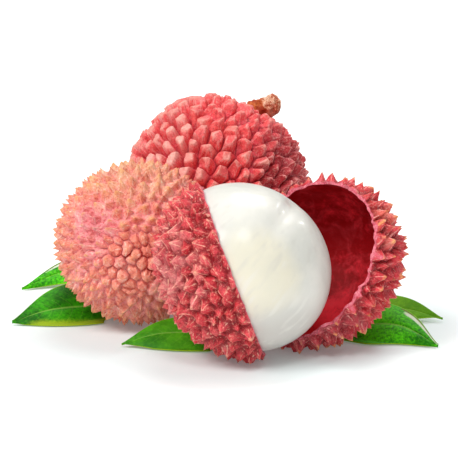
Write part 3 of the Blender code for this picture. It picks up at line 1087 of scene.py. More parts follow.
@dataclass(frozen=True)
class Pegs:
    """Blunt tubercles, longer than wide and smaller towards one side of the fruit.

    On the left of the bunch they are taller, further apart and flat-topped. On its
    right they are pointed.
    """

    count: int = 470
    height: float = 1.1
    sink: float = 1.8
    uneven: tuple[float, float] = (0.7, 1.08)
    chamfers: int = 4
    aspect: float = 1.12
    jitter: float = 0.26
    rounds: int = 30
    crowd_axis: Triple = (0.85, 0.0, 0.1)
    crowding: float = 0.16
    net_sites: int = 340
    steps: int = 16
    warp: float = 0.16
    warp_size: float = 2.2
    warp_seed: int = 60
    lean: float = 0.035
    left_taller: float = 0.28
    left_deeper: float = 0.6
    gap: float = 0.05
    left_gap: float = 0.27
    blunt: tuple[float, float] = (0.22, 0.4)
    left_sharper: float = 0.4
    roundness: float = 1.15
    face_shade: float = 0.6
    bumps: Ripples = Ripples(0.05, 1.3, 7)
    grain: Ripples = Ripples(0.035, 0.7, 8)
    seed: int = 5
    batch: int = 8192

    @property
    def spacing(self) -> float:
        """How far apart the pegs are on a unit sphere."""
        return math.sqrt(4 * math.pi / self.count)

    def sites(self) -> np.ndarray:
        """Spreads the pegs evenly, further apart along the stem's meridians."""
        rng = np.random.default_rng(self.seed)
        sites = even_sites(self.count, self.seed)
        sites = unit(sites + rng.normal(0, self.jitter * self.spacing, sites.shape))
        for _ in range(self.rounds):
            north = northwards(sites)
            away = sites[:, None] - sites[None]
            up = (away * north[:, None]).sum(2)
            near_by = (away**2).sum(2) - up**2 * (1 - 1 / self.aspect**2)
            near = np.exp(-near_by / (RELAX_REACH * self.spacing**2))
            push = (away * near[..., None]).sum(1)
            push += north * ((self.aspect - 1) * (push * north).sum(1))[:, None]
            sites = unit(sites + RELAX_STEP * push)
        return self._crowded(sites)

    def _crowded(self, sites: np.ndarray) -> np.ndarray:
        """Draws the sites together round one side of the fruit."""
        axis = unit(self.crowd_axis)
        polar = np.arccos(np.clip(sites @ axis, -1, 1))
        drawn = polar - self.crowding * np.sin(polar) * (1 + np.cos(polar))
        across = unit(sites - np.outer(sites @ axis, axis))
        return np.outer(np.cos(drawn), axis) + across * np.sin(drawn)[:, None]

    def cover(self, body: Body, shading: Shading) -> Sculpt:
        """Covers a body with pegs.

        Args:
            body: The smooth body.
            shading: Where the skin is warmer, paler or duller.

        Returns:
            The skin.
        """
        sites, spacing = self.sites(), self.spacing
        net = Lattice.between(even_sites(self.net_sites, self.seed), self.steps)
        start = net.start
        north = northwards(start)
        east = np.cross(north, start)
        warped = unit(start + self.warp * spacing * np.column_stack(
            [ripples(start, self.warp_size * spacing, self.warp_seed + axis)
             for axis in range(3)]))
        first, edge = self._nearest(sites, warped, north, east)
        right, peg_right = (start @ body.axes)[:, 0], (sites @ body.axes)[:, 0]
        left, peg_left = smooth(0.0, 0.7, -right), smooth(0.0, 0.6, -peg_right)
        rng = np.random.default_rng(self.seed + HEIGHT_SEED)
        tops = (self.height + self.sink) * rng.uniform(*self.uneven, len(sites))
        tones = rng.uniform(0, 1, len(sites))
        blunt = rng.uniform(*self.blunt, len(sites)) * (1 - self.left_sharper * peg_left)
        away = warped - sites[first]
        x, y = (away * east).sum(1) / spacing, (away * north).sum(1) / (spacing * self.aspect)
        gap = self.gap + self.left_gap * smooth(-0.1, 0.7, -right)
        flank = np.clip((edge - gap) / blunt[first], 0, 1)
        shelf = 1 - (1 - flank) ** self.roundness
        pointed = smooth(0.1, 0.8, peg_right) - peg_left
        top, off, lit = self._chamfers(rng, pointed, first, x, y)
        profile = np.minimum(shelf, top)
        lift = tops[first] * (1 + self.left_taller * left) * profile - self.sink
        lift -= self.left_deeper * left
        directions = unit(start + north * (self.lean * shelf * (1 - start[:, 2] ** 8))[:, None])
        places = body.surface(directions)
        lift += self.bumps.over(places) * shelf + self.grain.over(places)
        # The ridge mark paints a pale highlight along the edges of each peg's faces.
        ridge = np.exp(-(np.minimum(abs(shelf - top), off) / 0.09) ** 2) * (flank > 0.2)
        # The crease mark is painted shade in the gaps between pegs.
        marks = {"rise": np.clip(profile, 0, HIGHEST_RISE), "ridge": ridge,
                 "crease": np.exp(-edge / (0.12 + gap)),
                 "tone": (1 - self.face_shade) * tones[first] + self.face_shade * lit}
        marks |= shading.marks(start @ body.axes)
        return Sculpt(body.surface(directions, lift), net.faces, marks)

    def _chamfers(self, rng: np.random.Generator, pointed: np.ndarray, first: np.ndarray,
                  x: np.ndarray, y: np.ndarray) -> tuple[np.ndarray, np.ndarray, np.ndarray]:
        """Cuts each peg's top into a few flat faces.

        Args:
            rng: Where the faces' directions are drawn from.
            pointed: How pointed each peg is, from -1 for flat-topped to 1.
            first: The peg of each place.
            x: The place on its peg across the stem's meridian, as a share of the width.
            y: The place along the meridian.

        Returns:
            How high the top is at each place, 1 at its highest, how far each place is
            from the ridges between the faces, and its face's own tone.
        """
        count = len(pointed)
        turn = rng.uniform(0, 2 * math.pi, count)
        tilt = rng.uniform(0.1, 0.7, count) * np.minimum(1 + 0.7 * pointed, 1)
        faces = [1 - tilt[first] * (0.25 + x * np.cos(turn)[first] + y * np.sin(turn)[first])]
        for _ in range(self.chamfers):
            turn = turn + 2 * math.pi / self.chamfers + rng.normal(0, 0.3, count)
            start, slope = rng.uniform(0.06, 0.32, count), rng.uniform(1.4, 3.2, count)
            start = start - 0.2 * pointed
            past = x * np.cos(turn)[first] + y * np.sin(turn)[first] - start[first]
            faces.append(1 - slope[first] * past)
        lowest = np.sort(faces, axis=0)
        lit = rng.uniform(0, 1, (len(faces), count))[np.argmin(faces, axis=0), first]
        return np.maximum(lowest[0], 0.2), lowest[1] - lowest[0], lit

    def _nearest(self, sites: np.ndarray, start: np.ndarray, north: np.ndarray,
                 east: np.ndarray) -> tuple[np.ndarray, np.ndarray]:
        """Finds the peg that each place belongs to, among its four nearest.

        Args:
            sites: The pegs' directions.
            start: The places, as unit directions.
            north: The direction to the stem at each place.
            east: The direction across it.

        Returns:
            The peg's number, and how far inside its border the place lies, as a share of
            half the pegs' width.
        """
        first, edge = np.empty(len(start), int), np.empty(len(start))
        for begin in range(0, len(start), self.batch):
            part = slice(begin, begin + self.batch)
            own_up = (north[part] * start[part]).sum(1)[:, None]
            own_side = (east[part] * start[part]).sum(1)[:, None]
            up = (north[part] @ sites.T - own_up) / self.aspect
            side = east[part] @ sites.T - own_side
            out = 1 - start[part] @ sites.T
            squared = up**2 + side**2 + out**2 * 4
            order = np.argpartition(squared, 3, axis=1)[:, :4]
            closer = np.argsort(np.take_along_axis(squared, order, 1), axis=1)
            order = np.take_along_axis(order, closer, 1)
            squared, up, side = (np.take_along_axis(values, order, 1)
                                 for values in (squared, up, side))
            apart = 2 * np.sqrt((up[:, 1:] - up[:, :1]) ** 2 + (side[:, 1:] - side[:, :1]) ** 2
                                + 1e-9)
            first[part] = order[:, 0]
            edge[part] = ((squared[:, 1:] - squared[:, :1]) / apart).min(1) / (self.spacing / 2)
        return first, edge


@dataclass
class WholeFruit:
    """A whole fruit, pressed flat where it rests and leans."""

    node: str
    slot: str
    body: Body
    coat: Spines | Pegs
    finish: SkinFinish
    shading: Shading
    neighbours: tuple[Body, ...]

    def build(self) -> bpy.types.Object:
        """Builds and dresses the fruit."""
        skin = self.coat.cover(self.body, self.shading)
        for other in self.neighbours:
            skin.press(*self.body.contact(other))
        skin.stand(self.body.centre[2])
        piece = Piece(self.node, "skin", self.slot)
        return piece.set_down(skin.mesh(piece.name), self.finish.make())


@dataclass
class PeelHalf:
    """Part of an opened peel: a spiny shell with a smooth lining, cut off at each plane."""

    node: str
    body: Body
    coat: Spines
    cuts: tuple[Cut, ...]
    finish: SkinFinish
    shading: Shading
    neighbours: tuple[Body, ...] = ()
    # Where the lining is painted lighter, as painted light.
    light: tuple[Patch, ...] = ()
    squeeze: float = 0.0
    lining_sites: int = 160
    lining_steps: int = 8
    lining_seed: int = 21
    lining_lift: float = 0.3
    lining_ripples: tuple[Ripples, ...] = (Ripples(0.05, 6.0, 31), Ripples(0.02, 2.0, 32))
    edge_fade: float = 0.22

    def build(self) -> bpy.types.Object:
        """Builds and dresses the half peel."""
        outer = self.body.grown(PEEL_WALL + CLEARANCE)
        skin = self.coat.cover(outer, self.shading, self.cuts)
        for other in self.neighbours:
            skin.press(*outer.contact(other))
        shell = join(skin, self._lining())
        shell.points = squeezed(shell.points, self.cuts[0].point, self.cuts[0].normal,
                                self.squeeze)
        shell.press_flat()
        piece = Piece(self.node, "shell", "peel_crimson")
        return piece.set_down(self._trim(shell.mesh(piece.name)), self.finish.make(),
                              LiningFinish().make(), EdgeFinish().make())

    def _lining(self) -> Sculpt:
        """Builds the inner side, facing inwards."""
        net = Lattice.between(even_sites(self.lining_sites, self.lining_seed), self.lining_steps)
        places = self.body.surface(net.start)
        lift = self.lining_lift + sum(layer.over(places) for layer in self.lining_ripples)
        marks = {"light": patched(self.light, net.start @ self.body.axes)}
        return Sculpt(self.body.surface(net.start, lift), net.faces[:, ::-1], marks,
                      np.full(len(net.faces), Region.INSIDE.value))

    def _trim(self, mesh: bpy.types.Mesh) -> bpy.types.Mesh:
        """Cuts the shell at its planes, closes its edge and marks what lies beside it."""
        shape = bmesh.new()
        shape.from_mesh(mesh)
        for cut in self.cuts:
            self._slice(shape, cut)
        layer = shape.verts.layers.float.new("edge")
        nearest = np.max([cut.past(self._places(shape)) for cut in self.cuts], axis=0)
        for vert, amount in zip(shape.verts, np.exp(np.minimum(nearest, 0) / self.edge_fade)):
            vert[layer] = amount
        shape.to_mesh(mesh)
        shape.free()
        mesh.update()
        return mesh

    @staticmethod
    def _places(shape: bmesh.types.BMesh) -> np.ndarray:
        """Gives a shape's places in the bunch's own frame."""
        return np.array([vert.co for vert in shape.verts]) / MM - ORIGIN

    def _shift(self, shape: bmesh.types.BMesh, cut: Cut, sign: int) -> None:
        """Moves the shape by the cut's wavering, so that the cut is a plane, or back again."""
        normal = unit(cut.normal)
        for vert, amount in zip(shape.verts, cut.shift(self._places(shape))):
            vert.co += Vector(normal * sign * amount * MM)

    def _slice(self, shape: bmesh.types.BMesh, cut: Cut) -> None:
        """Takes away what lies past one cut, and fills the edge that it leaves."""
        self._shift(shape, cut, -1)
        result = bmesh.ops.bisect_plane(
            shape, geom=shape.verts[:] + shape.edges[:] + shape.faces[:], dist=1e-8,
            plane_co=(np.array(cut.point) + ORIGIN) * MM, plane_no=unit(cut.normal),
            clear_outer=True)
        border = [item for item in result["geom_cut"]
                  if isinstance(item, bmesh.types.BMEdge) and item.is_boundary]
        filled = bmesh.ops.triangle_fill(shape, use_beauty=True, use_dissolve=False,
                                         edges=border, normal=unit(cut.normal))
        for item in filled["geom"]:
            if isinstance(item, bmesh.types.BMFace):
                item.material_index = Region.EDGE.value
                item.smooth = False
        self._shift(shape, cut, 1)


@dataclass
class Flesh:
    """The white flesh: a smooth egg with a groove down from its stem end."""

    body: Body
    cut: Cut
    cream: tuple[Patch, ...] = ()
    grey: tuple[Patch, ...] = ()
    segments: int = 280
    rings: int = 150
    groove_depth: float = 0.9
    groove_width: float = 0.11
    groove_reach: float = 0.75
    groove_start: float = 0.12
    swells: tuple[Ripples, ...] = (Ripples(0.02, 9.0, 41), Ripples(0.015, 2.5, 42))
    strands: tuple[Ripples, ...] = (Ripples(1.0, 2.6, 43), Ripples(0.6, 1.2, 44, 40))
    strand_stretch: float = 0.14
    strand_height: float = 0.012
    shrink: float = 0.06
    squeeze: float = 0.07

    def build(self) -> bpy.types.Object:
        """Builds and dresses the flesh."""
        shape = bmesh.new()
        bmesh.ops.create_uvsphere(shape, u_segments=self.segments, v_segments=self.rings, radius=1)
        shape.verts.index_update()
        start = unit(np.array([vert.co for vert in shape.verts]))
        # The sphere's faces come in another order in each run, so they are sorted.
        faces = sorted([vert.index for vert in face.verts] for face in shape.faces)
        shape.free()
        places, facing = self.body.surface(start), start @ self.body.axes
        drawn = start * np.array((1.0, 1.0, self.strand_stretch)) * self.body.half_sizes[0]
        strands = sum(layer.over(drawn) for layer in self.strands)
        lift = -self._groove(start) - self.shrink + self.strand_height * strands
        lift += sum(layer.over(places) for layer in self.swells)
        points = squeezed(self.body.surface(start, lift), self.cut.point, self.cut.normal,
                          self.squeeze)
        marks = {"warm": patched(self.cream, facing), "grey": patched(self.grey, facing),
                 "strand": strands}
        piece = Piece("flesh", "egg", "flesh")
        return piece.set_down(Sculpt(points, faces, marks).mesh(piece.name), FleshFinish().make())

    def _groove(self, start: np.ndarray) -> np.ndarray:
        """Gives the groove's depth in each direction: it runs down one side from the stem."""
        x, y, z = start.T
        along = np.clip((z + self.groove_reach - 1) / self.groove_reach, 0, 1)
        near = np.clip((self.groove_start - y) / (2 * self.groove_start), 0, 1)
        return self.groove_depth * along * near * np.exp(-(x / self.groove_width) ** 2)


# ---------------------------------------------------------------- stalk and leaves


def spline(points: tuple[Triple, ...], amount: float) -> np.ndarray:
    """Finds a point on a smooth curve through the points, for an amount from 0 to 1."""
    knots = [np.array(point, float) for point in points]
    knots = [knots[0] * 2 - knots[1], *knots, knots[-1] * 2 - knots[-2]]
    spans = len(knots) - 3
    place = min(amount * spans, spans - 1e-6)
    index = int(place)
    t = place - index
    a, b, c, d = knots[index:index + 4]
    return 0.5 * ((2 * b) + (c - a) * t + (2 * a - 5 * b + 4 * c - d) * t**2
                  + (3 * b - a - 3 * c + d) * t**3)


def grid_faces(rows: int, columns: int, closed: bool = False, start: int = 0,
               flip: bool = False) -> list[list[int]]:
    """Joins a grid of places into four-sided faces.

    Args:
        rows: How many rows the grid has.
        columns: How many places a row has.
        closed: Whether each row's end joins its beginning.
        start: The number of the first place.
        flip: Whether the faces look the other way.

    Returns:
        The faces, as lists of the places' numbers.
    """
    faces = []
    for row in range(rows - 1):
        for column in range(columns if closed else columns - 1):
            after = (column + 1) % columns
            here = start + row * columns
            face = [here + column, here + after, here + columns + after, here + columns + column]
            faces.append(face[::-1] if flip else face)
    return faces


@dataclass(frozen=True)
class Knob:
    """A knob of the stalk: where it stands, how wide it is and how far it stands out."""

    along: float
    turn: float
    width: float
    height: float


@dataclass
class Stalk:
    """The back fruit's broken stalk: a bent woody stub with a swollen, rough end."""

    root: np.ndarray
    route: tuple[Triple, ...] = ((-0.6, 0, -2.2), (-0.1, 0, -0.8), (0.4, 0, -0.3),
                                 (1.8, 0, -0.1), (3.6, 0, 0.1), (5.5, 0, -0.2))
    radii: tuple[float, ...] = (2.0, 1.9, 1.7, 1.45, 1.9, 1.5)
    rings: int = 90
    segments: int = 56
    closing: float = 0.84
    end_power: float = 3.2
    end_share: float = 0.05
    knobs: tuple[Knob, ...] = (
        Knob(0.62, 1.3, 0.55, 0.35), Knob(0.74, 3.4, 0.6, 0.55), Knob(0.8, 5.2, 0.5, 0.45),
        Knob(0.82, 0.2, 0.6, 0.5), Knob(0.95, 4.2, 0.5, 0.5), Knob(0.35, 2.2, 0.5, 0.15))
    knob_length: float = 0.125
    broad: Ripples = Ripples(0.36, 1.5, 51)
    fine: tuple[Ripples, ...] = (Ripples(0.3, 0.8, 52), Ripples(0.14, 0.4, 53))

    def build(self) -> bpy.types.Object:
        """Builds and dresses the stalk."""
        amounts = np.linspace(0, 1, self.rings)
        turns = np.linspace(0, 2 * math.pi, self.segments, endpoint=False)[:, None]
        middles = np.array([spline(self.route, amount) for amount in amounts]) + self.root
        radii = np.interp(amounts, np.linspace(0, 1, len(self.radii)), self.radii)
        side = np.array((0.0, 1.0, 0.0))
        up = unit(np.cross(unit(np.gradient(middles, axis=0)), side))
        out = radii[:, None, None] * (np.cos(turns) * up[:, None] + np.sin(turns) * side)
        away = unit(out)
        swell = self._swell(middles[:, None] + out, amounts[:, None], turns[:, 0])
        end = ((amounts - self.closing) / (1 - self.closing)).clip(0, 1)
        close = np.sqrt(np.clip(1 - end**self.end_power, 0, 1))[:, None, None]
        grid = middles[:, None] + (out + away * swell[..., None]) * (
            self.end_share + (1 - self.end_share) * close)
        points = np.concatenate((grid.reshape(-1, 3), middles[:1], middles[-1:]))
        faces = grid_faces(self.rings, self.segments, closed=True)
        count = self.rings * self.segments
        last = count - self.segments
        for step in range(self.segments):
            after = (step + 1) % self.segments
            faces += [[step, after, count], [last + after, last + step, count + 1]]
        wood = np.concatenate((np.repeat(smooth(0.45, 0.75, amounts), self.segments), (0.0, 1.0)))
        # The under mark is painted shade on the stalk's lower side.
        under = np.concatenate(((away[..., 2] < -0.2).astype(float).ravel(), (0.0, 0.0)))
        piece = Piece("stalk", "stub", "stalk")
        made = Sculpt(points, faces, {"wood": wood, "under": under}).mesh(piece.name)
        return piece.set_down(made, StalkFinish().make())

    def _swell(self, grid: np.ndarray, amounts: np.ndarray, turns: np.ndarray) -> np.ndarray:
        """Says how far each place stands out, for the knobs and the bark, rougher at the end.

        Args:
            grid: The places, a row for each ring.
            amounts: How far along the stalk each ring is, from 0 to 1.
            turns: How far round the stalk each place of a ring is.

        Returns:
            How far each place stands out.
        """
        swell = np.zeros(grid.shape[:2])
        for knob in self.knobs:
            around = np.angle(np.exp(1j * (turns - knob.turn)))[None]
            ahead = (amounts - knob.along) / self.knob_length
            swell += knob.height * np.exp(-(around / knob.width) ** 2 - ahead**2)
        flat = grid.reshape(-1, 3)
        swell += self.broad.over(flat).reshape(swell.shape) * (0.2 + amounts)
        fine = sum(layer.over(flat) for layer in self.fine).reshape(swell.shape)
        return swell + fine * (0.1 + amounts**2)


class StreakKind(Enum):
    """What a streak of a leaflet looks like."""

    # A pale streak: a painted highlight.
    GLOSS = "gloss"
    FOLD = "fold"
    LINE = "line"


@dataclass(frozen=True)
class Streak:
    """A streak along a leaflet: where it starts and ends, and how far from the midrib it lies."""

    kind: StreakKind
    start: float
    end: float
    across: float
    width: float
    fade_in: float = 0.12
    fade_out: float = 0.2

    def over(self, along: np.ndarray, across: np.ndarray) -> np.ndarray:
        """Gives the streak's strength at each place of the blade."""
        ends = smooth(self.start, self.start + self.fade_in, along) * (
            1 - smooth(self.end - self.fade_out, self.end, along))
        return ends * np.exp(-np.abs((across - self.across) / self.width) ** 3)


@dataclass(frozen=True)
class Leaf:
    """A leaflet: its midrib from base to tip, its half width, and how its halves rise.

    near and far are the rise in degrees of the half towards -Y and of the other half,
    at the base and at the tip.
    """

    node: str
    midrib: tuple[Triple, ...]
    half_width: float
    near: tuple[float, float]
    far: tuple[float, float]
    wave: float
    phase: float
    finish: LeafFinish
    under: LeafFinish
    streaks: tuple[Streak, ...] = ()
    stations: int = 120
    columns: int = 60
    thickness: float = 0.45
    edge_share: float = 0.25
    tip_share: float = 0.35
    rib_depth: float = 0.10
    rib_width: float = 0.09
    fullness: float = 0.72
    taper: float = 1.15
    stem: float = 0.1
    tip: float = 0.012
    droop: float = 0.1
    waves: float = 5.5
    wave_skew: float = 0.8
    tangent_step: float = 0.01
    part_thickness: float = 0.62
    upper_least: float = 0.05
    lower_least: float = 0.02

    def build(self, fruits: tuple[tuple[Body, Tubercles], ...]) -> bpy.types.Object:
        """Builds and dresses the leaflet.

        Args:
            fruits: What the leaflet leans on.

        Returns:
            The leaflet's object.
        """
        amounts = np.linspace(0, 1, self.stations)
        across = np.sin(np.linspace(-0.5, 0.5, self.columns) * math.pi)
        flat = np.concatenate([self._row(amount, across) for amount in amounts])
        for body, tubercles in fruits:
            flat = self._lean(flat, body, tubercles)
        upper, lower = self._sides(flat.reshape(self.stations, self.columns, 3), amounts, across)
        count = self.stations * self.columns
        faces = grid_faces(self.stations, self.columns)
        top = len(faces)
        faces += grid_faces(self.stations, self.columns, start=count, flip=True)
        faces += self._hem(count)
        slots = np.zeros(len(faces), int)
        slots[top:2 * top] = 1
        marks = {"along": np.tile(np.repeat(amounts, self.columns), 2),
                 "across": np.tile(np.tile(across, self.stations), 2)}
        for kind in StreakKind:
            marks[kind.value] = sum((streak.over(marks["along"], marks["across"])
                                     for streak in self.streaks if streak.kind is kind),
                                    np.zeros(2 * count))
        points = np.concatenate((upper.reshape(-1, 3), lower.reshape(-1, 3)))
        piece = Piece(self.node, "blade", "leaf")
        made = Sculpt(points, faces, marks, slots).mesh(piece.name)
        shape = bmesh.new()
        shape.from_mesh(made)
        bmesh.ops.recalc_face_normals(shape, faces=shape.faces[:])
        shape.to_mesh(made)
        shape.free()
        made.shade_smooth()
        return piece.set_down(made, self.finish.make(), self.under.make())

    def _sides(self, grid: np.ndarray, amounts: np.ndarray,
               across: np.ndarray) -> tuple[np.ndarray, np.ndarray]:
        """Thickens the blade's middle surface, less towards its outline.

        Args:
            grid: The middle surface, a row for each station.
            amounts: How far along the blade each station is, from 0 to 1.
            across: How far from the midrib each column is, from -1 to 1.

        Returns:
            The upper and the lower side.
        """
        normals = unit(np.cross(np.gradient(grid, axis=0), np.gradient(grid, axis=1)))
        if normals[..., 2].mean() < 0:
            normals = -normals
        edge = np.sqrt(np.clip(1 - np.abs(across) ** 4, 0, 1))[None, :, None]
        thin = 1 - (1 - self.tip_share) * smooth(0.85, 1.0, amounts)[:, None, None]
        half = self.thickness / 2 * (self.edge_share + (1 - self.edge_share) * edge) * thin
        rib = self.rib_depth * np.exp(-(across / self.rib_width) ** 2)[None, :, None]
        upper, lower = grid + normals * (half - rib), grid - normals * (half + rib)
        upper[..., 2] = np.maximum(upper[..., 2], self.upper_least)
        lower[..., 2] = np.maximum(lower[..., 2], self.lower_least)
        return upper, lower

    def _hem(self, count: int) -> list[list[int]]:
        """Joins the upper and lower sides along the blade's outline."""
        number = np.arange(count).reshape(self.stations, self.columns)
        ring = np.concatenate((number[0], number[1:, -1], number[-1, -2::-1], number[-2:0:-1, 0]))
        after = np.roll(ring, -1)
        return np.column_stack((ring, after, after + count, ring + count)).tolist()

    def _row(self, amount: float, across: np.ndarray) -> np.ndarray:
        """Finds one row of the blade's middle surface, from its near edge to its far edge."""
        middle = spline(self.midrib, amount)
        tangent = unit(spline(self.midrib, min(amount + self.tangent_step, 1))
                       - spline(self.midrib, max(amount - self.tangent_step, 0)))
        level = unit(np.cross(UPWARDS, tangent))
        away = level if level[1] > 0 else -level
        blade = math.sin(math.pi * min(amount, 1) ** self.fullness) ** self.taper
        width = self.half_width * max(blade, self.stem * (1 - amount) + self.tip)
        near, far = (side[0] + (side[1] - side[0]) * amount for side in (self.near, self.far))
        rise = np.radians(np.where(across < 0, near, far))
        out = width * across
        lift = np.abs(out) * np.sin(rise) - self.droop * out * across
        lift += self.wave * across**2 * np.sin(
            self.waves * amount + self.phase + self.wave_skew * across)
        return middle + np.outer(out * np.cos(rise), away) + np.outer(lift, UPWARDS)

    def _lean(self, points: np.ndarray, body: Body, tubercles: Tubercles) -> np.ndarray:
        """Moves places of the blade out of a fruit, onto its tips or round its foot."""
        away = points - np.array(body.centre)
        half = self.part_thickness / 2
        nearest = body.reach(away) + tubercles.tallest + CLEARANCE + half
        away *= np.maximum(1, nearest / np.linalg.norm(away, axis=1))[:, None]
        lowest = half - body.centre[2]
        sunk = away[:, 2] < lowest
        clear = np.sqrt(np.maximum(nearest**2 - lowest**2, 0))
        out = np.maximum(1, clear / np.maximum(np.hypot(away[:, 0], away[:, 1]), 1e-9))
        away[sunk, :2] *= out[sunk, None]
        away[sunk, 2] = lowest
        return np.array(body.centre) + away


# ---------------------------------------------------------------- the studio


@dataclass(frozen=True)
class Lamp:
    """A round soft light that looks at the bunch, in metres and watts."""

    name: str
    place: Triple
    size: float
    power: float
    colour: Triple = WHITE
    target: Triple = (0.0, 0.0, 0.018)

    def hang(self) -> None:
        """Hangs the light."""
        data = bpy.data.lights.new(self.name, "AREA")
        data.shape, data.size = "DISK", self.size
        data.energy, data.color = self.power, self.colour
        light = bpy.data.objects.new(self.name, data)
        light.location = self.place
        aim = Vector(self.target) - Vector(self.place)
        light.rotation_euler = aim.to_track_quat("-Z", "Y").to_euler()
        bpy.context.scene.collection.objects.link(light)


@dataclass
class Studio:
    """The floor, the lights and the camera."""

    distance: float = 855.0
    frame_width: float = 87.02
    sensor_width: float = 36.0
    target: Triple = (-1.955, 1.788, 24.671)
    floor_size: float = 4.0
    sky: float = 0.31
    lamps: tuple[Lamp, ...] = (
        Lamp("key", (-0.6, -0.5, 0.85), 0.5, 7.0, (1.0, 0.99, 0.97)),
        Lamp("top", (0.15, 0.5, 0.95), 0.6, 4.5),
        Lamp("fill", (0.04, -0.62, 0.95), 0.35, 3.4),
        Lamp("glint", (0.64, 0.61, 0.47), 0.05, 0.8))

    def build(self) -> None:
        """Sets up the floor, the lights and the camera."""
        self._floor()
        self._world()
        for lamp in self.lamps:
            lamp.hang()
        self._camera()

    def _floor(self) -> None:
        """Lays the white surface."""
        mesh = bpy.data.meshes.new("floor")
        size = self.floor_size
        mesh.from_pydata([(-size, -size, 0), (size, -size, 0), (size, size, 0), (-size, size, 0)],
                         [], [(0, 1, 2, 3)])
        mesh.materials.append(FloorFinish().make())
        floor = bpy.data.objects.new("floor", mesh)
        bpy.context.scene.collection.objects.link(floor)

    def _world(self) -> None:
        """Lights the scene evenly from all round."""
        world = bpy.data.worlds.new("studio")
        world.use_nodes = True
        background = world.node_tree.nodes["Background"]
        background.inputs["Color"].default_value = (*WHITE, 1.0)
        background.inputs["Strength"].default_value = self.sky
        bpy.context.scene.world = world
        bpy.context.scene.view_settings.view_transform = "Standard"

    def _camera(self) -> None:
        """Places the camera, a little above the bunch and far enough away for little distortion."""
        data = bpy.data.cameras.new("camera")
        data.sensor_width = self.sensor_width
        data.lens = self.sensor_width * self.distance / self.frame_width
        data.clip_start = 0.01
        camera = bpy.data.objects.new("camera", data)
        back = np.array(TOWARDS_VIEWER)
        camera.location = (np.array(self.target) + ORIGIN + back * self.distance) * MM
        camera.rotation_euler = Vector(-back).to_track_quat("-Z", "Y").to_euler()
        bpy.context.scene.collection.objects.link(camera)
        bpy.context.scene.camera = camera


# ---------------------------------------------------------------- the bunch

OPENED = Body((1.0, 0.0, 17.6), (17.0, 15.7, 15.7), (0.60, 0.19, 0.776), (0.80, -0.145, -0.582))
LEFT = Body((-19.8, 24.7, 16.4), (15.6, 15.1, 15.3), (-0.45, 0.62, 0.64), (1.0, 0.0, 0.0),
            taper=0.03, dimple=1.0)
BACK = Body((-4.4, 53.8, 19.8), (17.8, 17.2, 18.8), (0.40, 0.28, 0.87), (1.0, 0.0, 0.0),
            taper=0.04, dimple=2.2)
LOBE = Body((13.3, 8.0, 16.7), (16.9, 15.0, 14.9), (-0.35, 0.25, 0.90), (0.89, 0.11, 0.437))
OPENED_SKIN = OPENED.grown(PEEL_WALL + CLEARANCE)
LOBE_SKIN = LOBE.grown(PEEL_WALL + CLEARANCE)
LOBE_INSET = 0.4

SPIKES_LEFT = Tubercles(540, 1.25, 3)
SPIKES_OPENED = Tubercles(430, 1.3, 8)
SPIKES_LOBE = Tubercles(430, 1.35, 12)
PLATES_BACK = Tubercles(270, 1.05, 5)
PLATE_DOME = 0.30

LEFT_CUT_NORMAL = (0.937, 0.055, 0.344)
LOBE_CUT_NORMAL = (-0.60, -0.66, 0.453)
TOWARDS_FLESH = tuple(np.array(OPENED.centre) - np.array(LOBE.centre))
LEFT_CUT = Cut(OPENED.beyond(LEFT_CUT_NORMAL, -2.2), LEFT_CUT_NORMAL)
LOBE_CUT = Cut(LOBE.beyond(LOBE_CUT_NORMAL, 1.0), LOBE_CUT_NORMAL, waver=0.42, swell=3.4)
LOBE_EDGE = Cut(LOBE.beyond(TOWARDS_FLESH, 5.2), TOWARDS_FLESH, seed=3)

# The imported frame's own origin, found from where the flesh lies in it.
ORIGIN = np.array(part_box("flesh")).mean(axis=0) / MM - np.array(OPENED.centre)

CORAL = SkinFinish("skin_coral", valley="fca0a0", flank="fc9880", tip="f0a060", rib="ffd4bc",
                   deep="c83028", bright="ffdcc8", warm="f4c090", pale="f898ac", dull="cc4c44",
                   tip_strength=0.75, crease_strength=0.95, deep_strength=0.65,
                   bright_strength=0.6, rib_strength=0.7, fibre_strength=0.7,
                   grain=0.35, dull_depth=0.75)
ROSE = SkinFinish("skin_rose", valley="e83850", flank="fa6062", tip="e89c84", rib="ffb8b0",
                  deep="a80c1c", bright="ffb8ac", warm="f8a080", pale="ffb0b0", dull="a81424",
                  tip_start=0.75, tip_strength=0.4, rib_strength=0.65, bright_strength=0.5,
                  crease_strength=1.0, deep_strength=0.5, speck_strength=0.45)
CRIMSON = SkinFinish("skin_crimson", valley="98081a", flank="e03c48", tip="f6b08c", rib="fcb89c",
                     deep="780610", bright="fcbca4", warm="f0ae78", pale="e48884", dull="ac4850",
                     tip_start=0.8, tip_strength=0.5, deep_strength=0.7, bright_strength=0.4,
                     crease_strength=0.9, rib_strength=0.55, fibre_strength=0.8)
CRIMSON_WARM = SkinFinish("skin_crimson_warm", valley="a00c1c", flank="dc3440", tip="f8b060",
                          rib="fca494", deep="780610", bright="fcb0a4", warm="f08c5c",
                          pale="ec8890", dull="982c38", deep_strength=0.6, bright_strength=0.25,
                          crease_strength=0.9, rib_strength=0.6, fibre_strength=0.7,
                          tip_start=0.7, tip_strength=0.6)

BRIGHT_LEAF = LeafFinish("leaf_bright", dark="187c00", green="5ce400", mottling=2.4,
                         roughness=0.38)
DARK_LEAF = LeafFinish("leaf_dark", dark="145c04", green="40b408")
MILD_LEAF = LeafFinish("leaf_mild", dark="287408", green="60bc1c", mottling=0.8)
OLIVE_UNDER = LeafFinish("leaf_olive", dark="549410", green="88c81c", vein="9cc848",
                         mottling=1.0, roughness=0.55)


